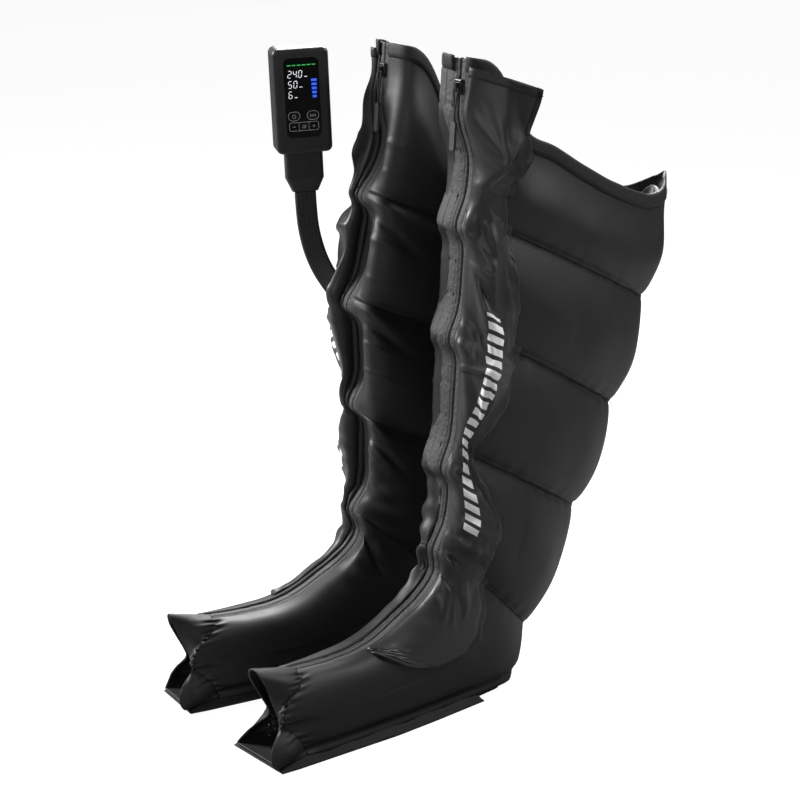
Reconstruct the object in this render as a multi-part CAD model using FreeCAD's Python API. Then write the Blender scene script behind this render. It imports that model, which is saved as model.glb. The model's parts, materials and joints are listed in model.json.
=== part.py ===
"""Air compression leg massager: a pair of zip-up padded sleeves and a hand-held air controller.

Each sleeve is drawn in its own frame: x outward from the mid-plane, y to the back, z up.
The left sleeve stands on the +x side with its toe towards -y, and the right sleeve is its mirror image.
Lengths are in millimetres.
"""
import FreeCAD, Part
import math
import os
from collections import namedtuple

from FreeCAD import Placement, Rotation, Vector

# Shared
OVERRUN = 40.0
CAVITY_OVERRUN = 4.0
SOFT_GAP = 0.3

# Stance of the pair
HEEL_SPACING = 150.0
TOE_OUT_DEG = 4.3

# Side outline of a sleeve
SLEEVE_HEIGHT = 820.0
FRONT_TOP_Y = -32.0
INSTEP_Y = -83.8
INSTEP_Z = 104.5
INSTEP_RADIUS = 150.0
TOE_SEAM_Y = -308.0
TOE_SEAM_Z = 103.5
REAR_TOP_Y = 336.0
REAR_TOP_Z = 631.0
HEEL_TOP_Y = 80.0
HEEL_TOP_Z = 54.0
REAR_BOW = 26.0
HEEL_BOTTOM_Y = 40.0
HEEL_BOW = 13.0

# Padded chambers
FRONT_SEAM_SHARES = (0.0, 0.209, 0.363, 0.538, 0.695)
REAR_SEAM_SHARES = (0.0, 0.265, 0.495, 0.725, 1.0)
CROWN_SHARES = (0.0, 0.05, 0.15, 0.32, 0.5, 0.68, 0.85, 0.95, 1.0)
LEG_HALF_WIDTH = 58.0
LEG_WIDTH_SHARES = (0.96, 1.0, 1.0, 0.97, 0.92)
LEG_BELLY_SHARE = 0.42
SEAM_DRAW = 12.0
REAR_DRAW = 8.0
ZIP_FACE_HALF = 24.0
TAIL_HALF = 27.0
TAIL_SAG = 20.0
CHAMBER_WALL = 17.5
FRONT_WALL = 26.0
REAR_WALL = 26.0
CAVITY_FACE_HALF = 10.0
CAVITY_TAIL_HALF = 12.0
CAVITY_TAIL_SAG = 9.0

# Foot chamber
FOOT_FRONT_SHARES = (0.0, 0.08, 0.2, 0.34, 0.5, 0.66, 0.8, 0.91, 1.0)
FOOT_BOTTOM_SHARES = (0.0, 0.1, 0.21, 0.36, 0.53, 0.7, 0.83, 0.93, 1.0)
FOOT_HALF_WIDTH = 53.0
FOOT_TOE_HALF = 45.0
FOOT_BELLY_SHARE = 0.58
FOOT_TAIL_HALF = 43.0
FOOT_TAIL_SAG = 6.0
FOOT_DRAW = 8.0
FOOT_WALL = 18.0
FOOT_FLOOR_WALL = 16.0
FOOT_CAVITY_TAIL_HALF = 24.0
FOOT_CAVITY_TAIL_SAG = 4.0

# Sole panel and toe hem
SOLE_THICKNESS = 4.0
SOLE_HALF_WIDTH = 50.0
SOLE_HEEL_Y = 68.0
SOLE_HEEL_DEPTH = 44.0
TOE_Y = -360.0
TOE_TOP_Z = 119.0
TOE_FACE_HALF = 13.0
TOE_MOUTH_HALF = 33.0
TOE_BASE_HALF = 46.0
TOE_WALL = 3.0

# Top binding
BINDING_HEIGHT = 22.0
BINDING_WALL = 4.0
TOP_SCOOP = 52.0
TOP_HALF_WIDTH = 50.0

# Zipper
SLOT_HALF = 20.0
TAPE_THICKNESS = 1.6
COIL_HALF = 3.0
COIL_HEIGHT = 1.5
SLIDER_START = 26.0
SLIDER_LENGTH = 17.0
SLIDER_HALF = 6.0
SLIDER_CAP = 2.2
SLIDER_GAP = 0.4
SLIDER_ROUND = 1.4
BAIL_LENGTH = 9.0
BAIL_HALF = 2.0
BAIL_HEIGHT = 4.6
BAIL_HOLE_RADIUS = 1.4
PULL_CORD_RADIUS = 1.1
PULL_CORD_LENGTH = 44.0
PULL_LOOP_GAP = 1.1
PULL_JOIN_SHARE = 0.75
PULL_PIVOT_GAP = 0.08
PULL_TAB_LENGTH = 36.0
PULL_TAB_HALF = 4.2
PULL_TAB_THICKNESS = 3.6
PULL_TAB_GRIP = 5.0
PULL_CORD_SEAT = 0.1

# Gusset panel
GUSSET_THICKNESS = 2.2
GUSSET_CLEARANCE = 0.8
GUSSET_WIDTH = 74.0
GUSSET_LIFT = 37.0
GUSSET_MIDDLE_SHARE = 0.36
GUSSET_FOLD_SHARE = 0.3
GUSSET_FOLDS = 2
GUSSET_START_SHARE = 0.1
GUSSET_PLACE_SHARES = (0.0, 0.55, 1.0, 1.4, 2.0, 2.5, 2.9, 3.1, 3.5, 4.0, 4.3, 4.5)
GUSSET_WIDTH_SHARES = (1.0, 0.8, 0.62, 0.84, 0.88, 0.8, 0.4, 0.4, 0.82, 0.86, 1.0, 0.6)
GUSSET_LIFT_SHARES = (0.3, 0.55, 0.5, 0.95, 0.95, 0.9, 0.2, 0.2, 0.4, 0.35, 0.3, 0.12)
GUSSET_LAST_FOOT_RING = 4

# Air lines in the chamber walls
LINE_RADIUS = 2.3
LINE_PITCH = 6.0
LINE_SETBACK = 34.0
LINE_OUT = 28.5
LINE_UP_SHARES = (0.299, 0.134)
LINE_DOWN_SHARES = (0.226, 0.36)

# Flat hose from the controller to the right sleeve: its route's points, along and down from the plug
HOSE_WIDTH = 28.0
HOSE_THICKNESS = 9.0
HOSE_EDGE_RADIUS = 3.4
HOSE_FACE_DEG = 66.0
HOSE_ORIGIN_X = -172.0
HOSE_ORIGIN_Y = -93.0
HOSE_TOP_SHARE = 0.76
HOSE_ROUTE = (
    (0.0, 0.0),
    (1.4, 35.0),
    (7.0, 68.0),
    (17.5, 99.0),
    (33.0, 126.0),
    (50.0, 148.0),
    (69.0, 164.0),
)
ARC_SHARE = 0.45

# Inlet manifold
INLET_WIDTH = 34.0
INLET_LENGTH = 44.0
INLET_OUT = 5.5
INLET_DEPTH = 39.0
INLET_ROUND = 3.0
SLIT_LENGTH = 36.0
SLIT_GAP = 1.5

# Controller housing
CASE_WIDTH = 72.0
CASE_HEIGHT = 134.0
CASE_DEPTH = 40.0
CASE_CORNER = 8.0
CASE_EDGE = 5.0
CASE_WALL = 2.2
CASE_SPLIT_GAP = 0.1
POST_RADIUS = 4.0
POST_INSET_X = 8.0
POST_INSET_Z = 9.0
SCREW_RADIUS = 1.5
SCREW_HEAD_RADIUS = 2.8
SCREW_HEAD_DEPTH = 2.0
SCREW_CLEARANCE = 0.15
SCREW_GRIP = 3.0

# Display window and keys
WINDOW_MARGIN_X = 13.5
WINDOW_TOP_MARGIN = 12.0
WINDOW_BOTTOM = 21.0
WINDOW_WIDTH = CASE_WIDTH - 2 * WINDOW_MARGIN_X
WINDOW_HEIGHT = CASE_HEIGHT - WINDOW_BOTTOM - WINDOW_TOP_MARGIN
WINDOW_CORNER = 7.0
WINDOW_THICKNESS = 1.6
WINDOW_SHELF = 2.6
WINDOW_GAP = 0.1
ROUND_KEY_WIDTH_SHARE = 0.3
ROUND_KEY_SPACING_SHARE = 0.54
ROW_KEY_WIDTH_SHARE = 0.25
ROW_KEY_SPACING_SHARE = 0.28
ROUND_KEY_WIDTH = ROUND_KEY_WIDTH_SHARE * WINDOW_WIDTH
ROUND_KEY_HEIGHT = 10.0
ROUND_KEY_RADIUS = 4.6
ROUND_KEY_SPACING = ROUND_KEY_SPACING_SHARE * WINDOW_WIDTH
ROUND_KEY_Z = 48.5
ROW_KEY_WIDTH = ROW_KEY_WIDTH_SHARE * WINDOW_WIDTH
ROW_KEY_HEIGHT = 9.6
ROW_KEY_RADIUS = 2.2
ROW_KEY_SPACING = ROW_KEY_SPACING_SHARE * WINDOW_WIDTH
ROW_KEY_Z = 35.0
KEY_GAP = 0.2
KEY_PROUD = 0.5
KEY_FLANGE = 0.5
KEY_FLANGE_THICKNESS = 1.0
KEY_SEAT_GAP = 0.1
KEY_TRAVEL = 0.6

# Inside the controller
BOARD_MARGIN_X = 6.0
BOARD_MARGIN_Z = 6.0
BOARD_WIDTH = CASE_WIDTH - 2 * BOARD_MARGIN_X
BOARD_THICKNESS = 1.6
BOARD_SETBACK = 7.0
DISPLAY_SIDE_GAP = 1.0
DISPLAY_HEIGHT_SHARE = 0.371
DISPLAY_WIDTH = WINDOW_WIDTH - 2 * WINDOW_SHELF - 2 * DISPLAY_SIDE_GAP
DISPLAY_HEIGHT = DISPLAY_HEIGHT_SHARE * CASE_HEIGHT
DISPLAY_THICKNESS = 4.6
DISPLAY_TOP_MARGIN = 7.0
BATTERY_WIDTH_SHARE = 0.643
BATTERY_HEIGHT_SHARE = 0.3
BATTERY_WIDTH = BATTERY_WIDTH_SHARE * CASE_WIDTH
BATTERY_HEIGHT = BATTERY_HEIGHT_SHARE * CASE_HEIGHT
BATTERY_THICKNESS = 12.0
BATTERY_TOP_MARGIN = 11.0
BATTERY_ROUND = 2.0
MOTOR_RADIUS = 12.0
MOTOR_LENGTH = 31.0
MOTOR_LEFT = -29.0
MOTOR_Z_SHARE = 0.443
MOTOR_Z = MOTOR_Z_SHARE * CASE_HEIGHT
SHAFT_RADIUS = 1.5
SHAFT_GAP = 0.05
SHAFT_REACH = 12.0
CAM_RADIUS = 5.0
CAM_OFFSET = 1.6
CAM_LENGTH = 4.0
HEAD_LENGTH = 26.0
HEAD_SIZE_SHARE = 0.186
HEAD_SIZE = HEAD_SIZE_SHARE * CASE_HEIGHT
HEAD_BORE_RADIUS = 8.0
HEAD_BORE_DEPTH = 13.0
SOCKET_WALL = 3.0
SOCKET_HEIGHT_SHARE = 0.157
SOCKET_HEIGHT = SOCKET_HEIGHT_SHARE * CASE_HEIGHT
VALVE_BLOCK_WIDTH = 52.0
VALVE_BLOCK_HEIGHT_SHARE = 0.086
VALVE_BLOCK_HEIGHT = VALVE_BLOCK_HEIGHT_SHARE * CASE_HEIGHT
VALVE_BLOCK_DEPTH = 16.0
VALVE_COUNT = 5
VALVE_RADIUS = 4.0
VALVE_HEIGHT_SHARE = 0.064
VALVE_HEIGHT = VALVE_HEIGHT_SHARE * CASE_HEIGHT
VALVE_PITCH = 10.0
PORT_WIDTH = 9.0
PORT_HEIGHT = 3.4
PORT_DEPTH = 4.6
PORT_WALL = 0.6
PORT_X_SHARE = 0.381
PORT_X = PORT_X_SHARE * CASE_WIDTH

# Hose plug
PLUG_WIDTH = 49.0
PLUG_THICKNESS = 20.0
PLUG_CORNER = 5.0
PLUG_STRAIGHT = 35.0
PLUG_TAPER = 17.0
PLUG_END_WIDTH = 34.0
PLUG_END_THICKNESS = 14.0
PLUG_SEAT_GAP = 0.2
NOSE_WIDTH = 36.0
NOSE_THICKNESS = 11.0
NOSE_LENGTH = 16.0
NOSE_CORNER = 3.0
NOSE_GAP = 0.15
RIB_COUNT = 5
RIB_PITCH = 6.0
RIB_WIDTH = 2.6
RIB_HEIGHT = 0.8
RIB_LENGTH = 24.0

CORD_NODES = ("hose", "hose_plug")

Ring = namedtuple("Ring", "front rear half face_half tail_half tail_sag belly_share")


def lerp(a, b, share):
    """Value or vector at a share of the way from a to b."""
    return a + (b - a) * share


def table_at(place, places, values):
    """Piecewise linear value of a table at a place."""
    for start, end, low, high in zip(places, places[1:], values, values[1:]):
        if place <= end:
            return lerp(low, high, (place - start) / (end - start))
    return values[-1]


def swell(share):
    """Crown of a padded chamber, 0 at its seams and 1 half way between them."""
    return math.sqrt(max(0.0, 1.0 - (2.0 * share - 1.0) ** 2))


# Front line of the sleeve, which the zipper follows: a straight shin, a round instep and a straight foot
TOP_FRONT = Vector(0, FRONT_TOP_Y, SLEEVE_HEIGHT)
INSTEP = Vector(0, INSTEP_Y, INSTEP_Z)
TOE_SEAM_FRONT = Vector(0, TOE_SEAM_Y, TOE_SEAM_Z)
SHIN_WAY = (INSTEP - TOP_FRONT).normalize()
FOOT_WAY = (TOE_SEAM_FRONT - INSTEP).normalize()
INSTEP_TURN = SHIN_WAY.getAngle(FOOT_WAY)
INSTEP_TANGENT = INSTEP_RADIUS * math.tan(INSTEP_TURN / 2)
SHIN_END = INSTEP - SHIN_WAY * INSTEP_TANGENT
FOOT_START = INSTEP + FOOT_WAY * INSTEP_TANGENT
SHIN_LENGTH = (SHIN_END - TOP_FRONT).Length
INSTEP_LENGTH = INSTEP_RADIUS * INSTEP_TURN
FRONT_LENGTH = SHIN_LENGTH + INSTEP_LENGTH + (TOE_SEAM_FRONT - FOOT_START).Length


def inward(way):
    """Unit vector square to a way along the front line, pointing into the sleeve."""
    return Vector(0, -way.z, way.y)


INSTEP_CENTRE = SHIN_END - inward(SHIN_WAY) * INSTEP_RADIUS


def front_point(share):
    """Point of the front line at a share of its length."""
    distance = share * FRONT_LENGTH
    if distance <= SHIN_LENGTH:
        return TOP_FRONT + SHIN_WAY * distance
    if distance <= SHIN_LENGTH + INSTEP_LENGTH:
        angle = (distance - SHIN_LENGTH) / INSTEP_RADIUS
        way = inward(SHIN_WAY) * math.cos(angle) + SHIN_WAY * math.sin(angle)
        return INSTEP_CENTRE + way * INSTEP_RADIUS
    return FOOT_START + FOOT_WAY * (distance - SHIN_LENGTH - INSTEP_LENGTH)


def bowed(start, end, bow):
    """Arc in the mid-plane from start to end that bows by bow to the side that inward gives."""
    way = (end - start).normalize()
    return Part.Arc(start, lerp(start, end, 0.5) + inward(way) * bow, end).toShape()


def edge_point(edge, share):
    """Point of an edge at a share of its parameter range, which on an arc is its length."""
    return edge.valueAt(lerp(edge.FirstParameter, edge.LastParameter, share))


REAR_TOP = Vector(0, REAR_TOP_Y, REAR_TOP_Z)
HEEL_TOP = Vector(0, HEEL_TOP_Y, HEEL_TOP_Z)
HEEL_BOTTOM = Vector(0, HEEL_BOTTOM_Y, 0)
TOE_SEAM_BOTTOM = Vector(0, TOE_SEAM_Y, 0)
REAR_EDGE = bowed(REAR_TOP, HEEL_TOP, REAR_BOW)
HEEL_EDGE = bowed(HEEL_TOP, HEEL_BOTTOM, HEEL_BOW)


def bottom_point(share):
    """Point of the line round the heel and along the sole at a share of its length."""
    line = (TOE_SEAM_BOTTOM - HEEL_BOTTOM).Length
    distance = share * (HEEL_EDGE.Length + line)
    if distance <= HEEL_EDGE.Length:
        return edge_point(HEEL_EDGE, distance / HEEL_EDGE.Length)
    return lerp(HEEL_BOTTOM, TOE_SEAM_BOTTOM, (distance - HEEL_EDGE.Length) / line)


def chord(ring):
    """Unit vector from the front of a ring to its rear, and the ring's depth."""
    way = ring.rear - ring.front
    depth = way.Length
    return way.normalize(), depth


def ring_point(ring, along, out):
    """Point in a ring's plane: along its chord from the front, and outward from the mid-plane."""
    return ring.front + chord(ring)[0] * along + Vector(out, 0, 0)


def ring_corners(ring):
    """Places, along and out, that the flank arc of a ring runs through."""
    depth = chord(ring)[1]
    belly = (depth * ring.belly_share, ring.half)
    return (0, ring.face_half), belly, (depth - ring.tail_sag, ring.tail_half)


def ring_wire(ring, shift=0.0):
    """Closed outline of a ring: zipper face, two flank arcs and a tail arc, moved along its normal."""
    way, depth = chord(ring)
    move = Vector(1, 0, 0).cross(way) * shift
    near, belly, tail = [ring_point(ring, *place) + move for place in ring_corners(ring)]
    near_in, belly_in, tail_in = [ring_point(ring, along, -out) + move for along, out in ring_corners(ring)]
    return Part.Wire([
        Part.Arc(near, belly, tail).toShape(),
        Part.Arc(tail, ring.rear + move, tail_in).toShape(),
        Part.Arc(tail_in, belly_in, near_in).toShape(),
        Part.LineSegment(near_in, near).toShape(),
    ])


def ring_loft(rings, over=0.0):
    """Solid through rings, with its ends moved outward by an overrun."""
    shifts = [over] + [0.0] * (len(rings) - 2) + [-over]
    return Part.makeLoft([ring_wire(ring, shift) for ring, shift in zip(rings, shifts)], True, True)


def cavity_ring(ring, wall, floor_wall, tail_half, tail_sag):
    """Ring of the leg space inside a padded ring."""
    way = chord(ring)[0]
    return ring._replace(
        front=ring.front + way * FRONT_WALL,
        rear=ring.rear - way * floor_wall,
        half=ring.half - wall,
        face_half=CAVITY_FACE_HALF,
        tail_half=tail_half,
        tail_sag=tail_sag,
    )


def leg_ring(chamber, share, draw=1.0):
    """Ring of a leg chamber at a share of the way from its upper seam to its lower one."""
    lost = draw * (1.0 - swell(share))
    front = front_point(lerp(FRONT_SEAM_SHARES[chamber], FRONT_SEAM_SHARES[chamber + 1], share))
    rear = edge_point(REAR_EDGE, lerp(REAR_SEAM_SHARES[chamber], REAR_SEAM_SHARES[chamber + 1], share))
    rear = rear - (rear - front).normalize() * (REAR_DRAW * lost)
    full = LEG_HALF_WIDTH * lerp(LEG_WIDTH_SHARES[chamber], LEG_WIDTH_SHARES[chamber + 1], share)
    return Ring(front, rear, full - SEAM_DRAW * lost, ZIP_FACE_HALF, TAIL_HALF, TAIL_SAG, LEG_BELLY_SHARE)


def foot_ring(index, draw=1.0):
    """Ring of the foot chamber, from the ankle seam at index 0 round the heel to the toe seam."""
    share = FOOT_BOTTOM_SHARES[index]
    lost = draw * (1.0 - swell(share))
    ankle = FRONT_SEAM_SHARES[-1]
    front = front_point(lerp(ankle, 1.0, FOOT_FRONT_SHARES[index]))
    full = lerp(FOOT_HALF_WIDTH, FOOT_TOE_HALF, share)
    ankle_half = LEG_HALF_WIDTH * LEG_WIDTH_SHARES[-1] - SEAM_DRAW
    half = ankle_half if index == 0 and draw else full - FOOT_DRAW * lost
    heel_share = min(1.0, share / FOOT_BOTTOM_SHARES[2])
    tail_half = lerp(TAIL_HALF, FOOT_TAIL_HALF, heel_share)
    tail_sag = lerp(TAIL_SAG, FOOT_TAIL_SAG, heel_share)
    belly = lerp(LEG_BELLY_SHARE, FOOT_BELLY_SHARE, heel_share)
    rear = bottom_point(share)
    if index == 0:
        rear = rear - (rear - front).normalize() * (REAR_DRAW * lost)
    return Ring(front, rear, half, ZIP_FACE_HALF, tail_half, tail_sag, belly)


def front_outline(offset, start, end):
    """Edges of the front line moved inward by offset and lengthened at both ends."""
    shin_in = inward(SHIN_WAY) * offset
    foot_in = inward(FOOT_WAY) * offset
    middle_way = (inward(SHIN_WAY) + inward(FOOT_WAY)).normalize()
    points = [
        TOP_FRONT - SHIN_WAY * start + shin_in,
        SHIN_END + shin_in,
        INSTEP_CENTRE + middle_way * (INSTEP_RADIUS + offset),
        FOOT_START + foot_in,
        TOE_SEAM_FRONT + FOOT_WAY * end + foot_in,
    ]
    edges = [
        Part.LineSegment(points[0], points[1]).toShape(),
        Part.Arc(points[1], points[2], points[3]).toShape(),
        Part.LineSegment(points[3], points[4]).toShape(),
    ]
    return points, edges


def front_band(outer, inner, left, right, start=0.0, end=0.0):
    """Solid that follows the front line between two inward offsets and two outward places."""
    outer_points, outer_edges = front_outline(outer, start, end)
    inner_points, inner_edges = front_outline(inner, start, end)
    ends = [
        Part.LineSegment(outer_points[-1], inner_points[-1]).toShape(),
        Part.LineSegment(inner_points[0], outer_points[0]).toShape(),
    ]
    wire = Part.Wire(Part.__sortEdges__(outer_edges + inner_edges + ends))
    band = Part.Face(wire).extrude(Vector(right - left, 0, 0))
    band.translate(Vector(left, 0, 0))
    return band


def side_slab(edges):
    """Solid through the whole width of a sleeve from an outline in its mid-plane."""
    reach = LEG_HALF_WIDTH + OVERRUN
    slab = Part.Face(Part.Wire(Part.__sortEdges__(edges))).extrude(Vector(2 * reach, 0, 0))
    slab.translate(Vector(-reach, 0, 0))
    return slab


def below_scoop(drop):
    """Slab under the scooped top edge of the sleeve, lowered by drop."""
    down = Vector(0, 0, -drop)
    before = Vector(0, -OVERRUN, 0)
    behind = Vector(0, OVERRUN, 0)
    scoop = bowed(TOP_FRONT + down, REAR_TOP + down, -TOP_SCOOP)
    start, end = sorted((vertex.Point for vertex in scoop.Vertexes), key=lambda point: point.y)
    low_start = Vector(0, start.y, 0) + before
    low_end = Vector(0, end.y, 0) + behind
    corners = [start, start + before, low_start, low_end, end + behind, end]
    lines = [Part.LineSegment(a, b).toShape() for a, b in zip(corners, corners[1:])]
    return side_slab([scoop] + lines)


def zip_slot():
    """Opening at the front of a sleeve that the zipper closes."""
    return front_band(-OVERRUN, FRONT_WALL + OVERRUN, -SLOT_HALF, SLOT_HALF, OVERRUN, OVERRUN)


def leg_chamber(chamber):
    """Padded ring round the leg, open at the front for the zipper."""
    outer = ring_loft([leg_ring(chamber, share) for share in CROWN_SHARES])
    ends = [leg_ring(chamber, share, draw=0.0) for share in (CROWN_SHARES[0], CROWN_SHARES[-1])]
    cavity = [cavity_ring(r, CHAMBER_WALL, REAR_WALL, CAVITY_TAIL_HALF, CAVITY_TAIL_SAG) for r in ends]
    return outer.cut(ring_loft(cavity, CAVITY_OVERRUN)).cut(zip_slot())


def foot_rings(draw=1.0):
    """All rings of the foot chamber."""
    return [foot_ring(index, draw) for index in range(len(FOOT_BOTTOM_SHARES))]


def foot_cavity():
    """Leg space inside the foot chamber."""
    rings = foot_rings(draw=0.0)
    first = cavity_ring(rings[0], CHAMBER_WALL, REAR_WALL, CAVITY_TAIL_HALF, CAVITY_TAIL_SAG)
    foot_sizes = (FOOT_WALL, FOOT_FLOOR_WALL, FOOT_CAVITY_TAIL_HALF, FOOT_CAVITY_TAIL_SAG)
    rest = [cavity_ring(ring, *foot_sizes) for ring in rings[2:]]
    return ring_loft([first] + rest, CAVITY_OVERRUN)


def above_floor(height):
    """Block of all space above a height."""
    size = SLEEVE_HEIGHT + OVERRUN
    block = Part.makeBox(2 * size, 2 * size, size)
    block.translate(Vector(-size, -size, height))
    return block


def foot_chamber():
    """Padded foot, seated flat on the sole panel."""
    solid = ring_loft(foot_rings()).cut(foot_cavity()).cut(zip_slot())
    return solid.common(above_floor(SOLE_THICKNESS))


def sole_panel():
    """Flat sole with a round heel."""
    heel_side = SOLE_HEEL_Y - SOLE_HEEL_DEPTH
    corners = [Vector(-SOLE_HALF_WIDTH, heel_side, 0), Vector(-SOLE_HALF_WIDTH, TOE_Y, 0)]
    corners += [Vector(SOLE_HALF_WIDTH, TOE_Y, 0), Vector(SOLE_HALF_WIDTH, heel_side, 0)]
    edges = [Part.LineSegment(a, b).toShape() for a, b in zip(corners, corners[1:])]
    edges.append(Part.Arc(corners[-1], Vector(0, SOLE_HEEL_Y, 0), corners[0]).toShape())
    return Part.Face(Part.Wire(edges)).extrude(Vector(0, 0, SOLE_THICKNESS))


def toe_hem():
    """Unpadded open toe in front of the foot chamber."""
    start = foot_ring(len(FOOT_BOTTOM_SHARES) - 1)
    mouth = start._replace(
        front=Vector(0, TOE_Y, TOE_TOP_Z), rear=Vector(0, TOE_Y, 0), half=TOE_MOUTH_HALF,
        face_half=TOE_FACE_HALF, tail_half=TOE_BASE_HALF,
    )
    inside = []
    for ring in (start, mouth):
        way = chord(ring)[0]
        inside.append(ring._replace(
            front=ring.front + way * TOE_WALL, rear=ring.rear - way * (SOLE_THICKNESS + TOE_WALL),
            half=ring.half - TOE_WALL, face_half=ring.face_half - TOE_WALL,
            tail_half=ring.tail_half - TOE_WALL,
        ))
    hem = ring_loft([start, mouth]).cut(ring_loft(inside, CAVITY_OVERRUN))
    return hem.common(above_floor(SOLE_THICKNESS))


def top_binding():
    """Hem round the open top, which stands on the thigh chamber and follows its scooped edge."""
    ends = (CROWN_SHARES[0], CROWN_SHARES[-2])
    rings = [leg_ring(0, share, draw=0.0)._replace(half=TOP_HALF_WIDTH) for share in ends]
    inside = []
    for ring in rings:
        way = chord(ring)[0]
        inside.append(ring._replace(
            front=ring.front + way * BINDING_WALL, rear=ring.rear - way * BINDING_WALL,
            half=ring.half - BINDING_WALL, face_half=ring.face_half - BINDING_WALL,
            tail_half=ring.tail_half - BINDING_WALL,
        ))
    hem = ring_loft(rings).cut(ring_loft(inside, CAVITY_OVERRUN)).cut(zip_slot())
    return hem.common(below_scoop(0.0)).cut(below_scoop(BINDING_HEIGHT - SOFT_GAP))


def zipper_tape():
    """Two woven strips, one on each side of the coil."""
    inner = COIL_HALF + SOFT_GAP
    outer = SLOT_HALF - SOFT_GAP
    strips = [front_band(0.0, TAPE_THICKNESS, *places) for places in ((inner, outer), (-outer, -inner))]
    return Part.makeCompound(strips)


def zipper_coil():
    """Closed coil between the tape strips."""
    return front_band(-COIL_HEIGHT, TAPE_THICKNESS, -COIL_HALF, COIL_HALF)


def on_zip(distance, offset):
    """Placement on the shin's front line: z up the line, y into the sleeve, x outward."""
    place = TOP_FRONT + SHIN_WAY * distance + inward(SHIN_WAY) * offset
    turn = Rotation(Vector(1, 0, 0), inward(SHIN_WAY), SHIN_WAY * -1, "ZXY")
    return Placement(place, turn)


def box(width, depth, height, x=0.0, y=0.0, z=0.0):
    """Box centred on x, from y backwards and from z upwards."""
    return Part.makeBox(width, depth, height, Vector(x - width / 2, y, z))


RAIL_DEPTH = COIL_HEIGHT + SLIDER_GAP
SLIDER_DEPTH = RAIL_DEPTH + SLIDER_CAP - SLIDER_GAP
PIVOT_OUT = SLIDER_DEPTH + SLIDER_GAP + BAIL_HEIGHT / 2
PULL_PIVOT_DOWN = SLIDER_START + SLIDER_LENGTH / 2 + BAIL_LENGTH / 4


def zip_slider():
    """Slider over the coil, with a bail that carries the pull."""
    body = box(2 * SLIDER_HALF, SLIDER_DEPTH, SLIDER_LENGTH, y=-SLIDER_GAP - SLIDER_DEPTH)
    body = body.makeFillet(SLIDER_ROUND, [e for e in body.Edges if e.CenterOfMass.y < -SLIDER_DEPTH])
    groove_half = COIL_HALF + SLIDER_GAP
    groove = box(2 * groove_half, RAIL_DEPTH, SLIDER_LENGTH + 2 * OVERRUN, y=-RAIL_DEPTH, z=-OVERRUN)
    bail_y = -SLIDER_GAP - SLIDER_DEPTH - BAIL_HEIGHT
    bail_z = SLIDER_LENGTH / 2 - BAIL_LENGTH / 2
    bail = box(2 * BAIL_HALF, BAIL_HEIGHT, BAIL_LENGTH, y=bail_y, z=bail_z)
    hole_start = Vector(-SLIDER_HALF, -PIVOT_OUT, SLIDER_LENGTH / 2 - BAIL_LENGTH / 4)
    hole = Part.makeCylinder(BAIL_HOLE_RADIUS, 2 * SLIDER_HALF, hole_start, Vector(1, 0, 0))
    slider = body.cut(groove).fuse(bail).removeSplitter().cut(hole)
    slider.Placement = on_zip(SLIDER_START + SLIDER_LENGTH, 0.0)
    return slider


def pull_cord():
    """Loop of cord through the bail: a cross bar, two strands and a shank that the tab grips."""
    pivot = Vector(0, 0, 0)
    half = BAIL_HALF + PULL_LOOP_GAP + PULL_CORD_RADIUS
    bar_radius = BAIL_HOLE_RADIUS - PULL_PIVOT_GAP
    bar = Part.makeCylinder(bar_radius, 2 * half, pivot - Vector(half, 0, 0), Vector(1, 0, 0))
    joined = PULL_JOIN_SHARE * PULL_CORD_LENGTH
    for side in (-1, 1):
        start = pivot + Vector(side * half, 0, 0)
        meet = Vector(0, 0, -joined)
        way = meet - start
        bar = bar.fuse(Part.makeCylinder(PULL_CORD_RADIUS, way.Length, start, way))
        bar = bar.fuse(Part.makeSphere(PULL_CORD_RADIUS, start))
    shank = Part.makeCylinder(PULL_CORD_RADIUS, PULL_CORD_LENGTH - joined, Vector(0, 0, -PULL_CORD_LENGTH))
    return bar.fuse(shank).fuse(Part.makeSphere(PULL_CORD_RADIUS, Vector(0, 0, -joined))).removeSplitter()


def pull_tab():
    """Moulded grip on the end of the pull cord."""
    middle = PULL_TAB_LENGTH - 2 * PULL_TAB_HALF
    upper = PULL_TAB_GRIP - PULL_CORD_LENGTH - PULL_TAB_HALF
    lower = upper - middle
    front = -PULL_TAB_THICKNESS / 2
    tab = box(2 * PULL_TAB_HALF, PULL_TAB_THICKNESS, middle, y=front, z=lower)
    for z in (upper, lower):
        end = Part.makeCylinder(PULL_TAB_HALF, PULL_TAB_THICKNESS, Vector(0, front, z), Vector(0, 1, 0))
        tab = tab.fuse(end)
    seat = Part.makeCylinder(PULL_CORD_RADIUS + PULL_CORD_SEAT, PULL_TAB_GRIP + PULL_CORD_SEAT,
                             Vector(0, 0, -PULL_CORD_LENGTH - PULL_CORD_SEAT))
    return tab.removeSplitter().cut(seat)


def on_pull(shape):
    """Shape of the pull, drawn at its pivot, hung on the slider."""
    hung = shape.copy()
    hung.Placement = on_zip(PULL_PIVOT_DOWN, -PIVOT_OUT)
    return hung


def flank_arc(ring):
    """Centre, along and out, and radius of a ring's flank arc."""
    (ax, ay), (bx, by), (cx, cy) = ring_corners(ring)
    cross = 2 * (ax * (by - cy) + bx * (cy - ay) + cx * (ay - by))
    a2, b2, c2 = ax * ax + ay * ay, bx * bx + by * by, cx * cx + cy * cy
    x = (a2 * (by - cy) + b2 * (cy - ay) + c2 * (ay - by)) / cross
    y = (a2 * (cx - bx) + b2 * (ax - cx) + c2 * (bx - ax)) / cross
    return x, y, math.hypot(ax - x, ay - y)


def flank_out(ring, along):
    """How far out the flank of a ring lies at a place along its chord."""
    x, y, radius = flank_arc(ring)
    return y + math.sqrt(radius * radius - (along - x) ** 2)


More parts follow.
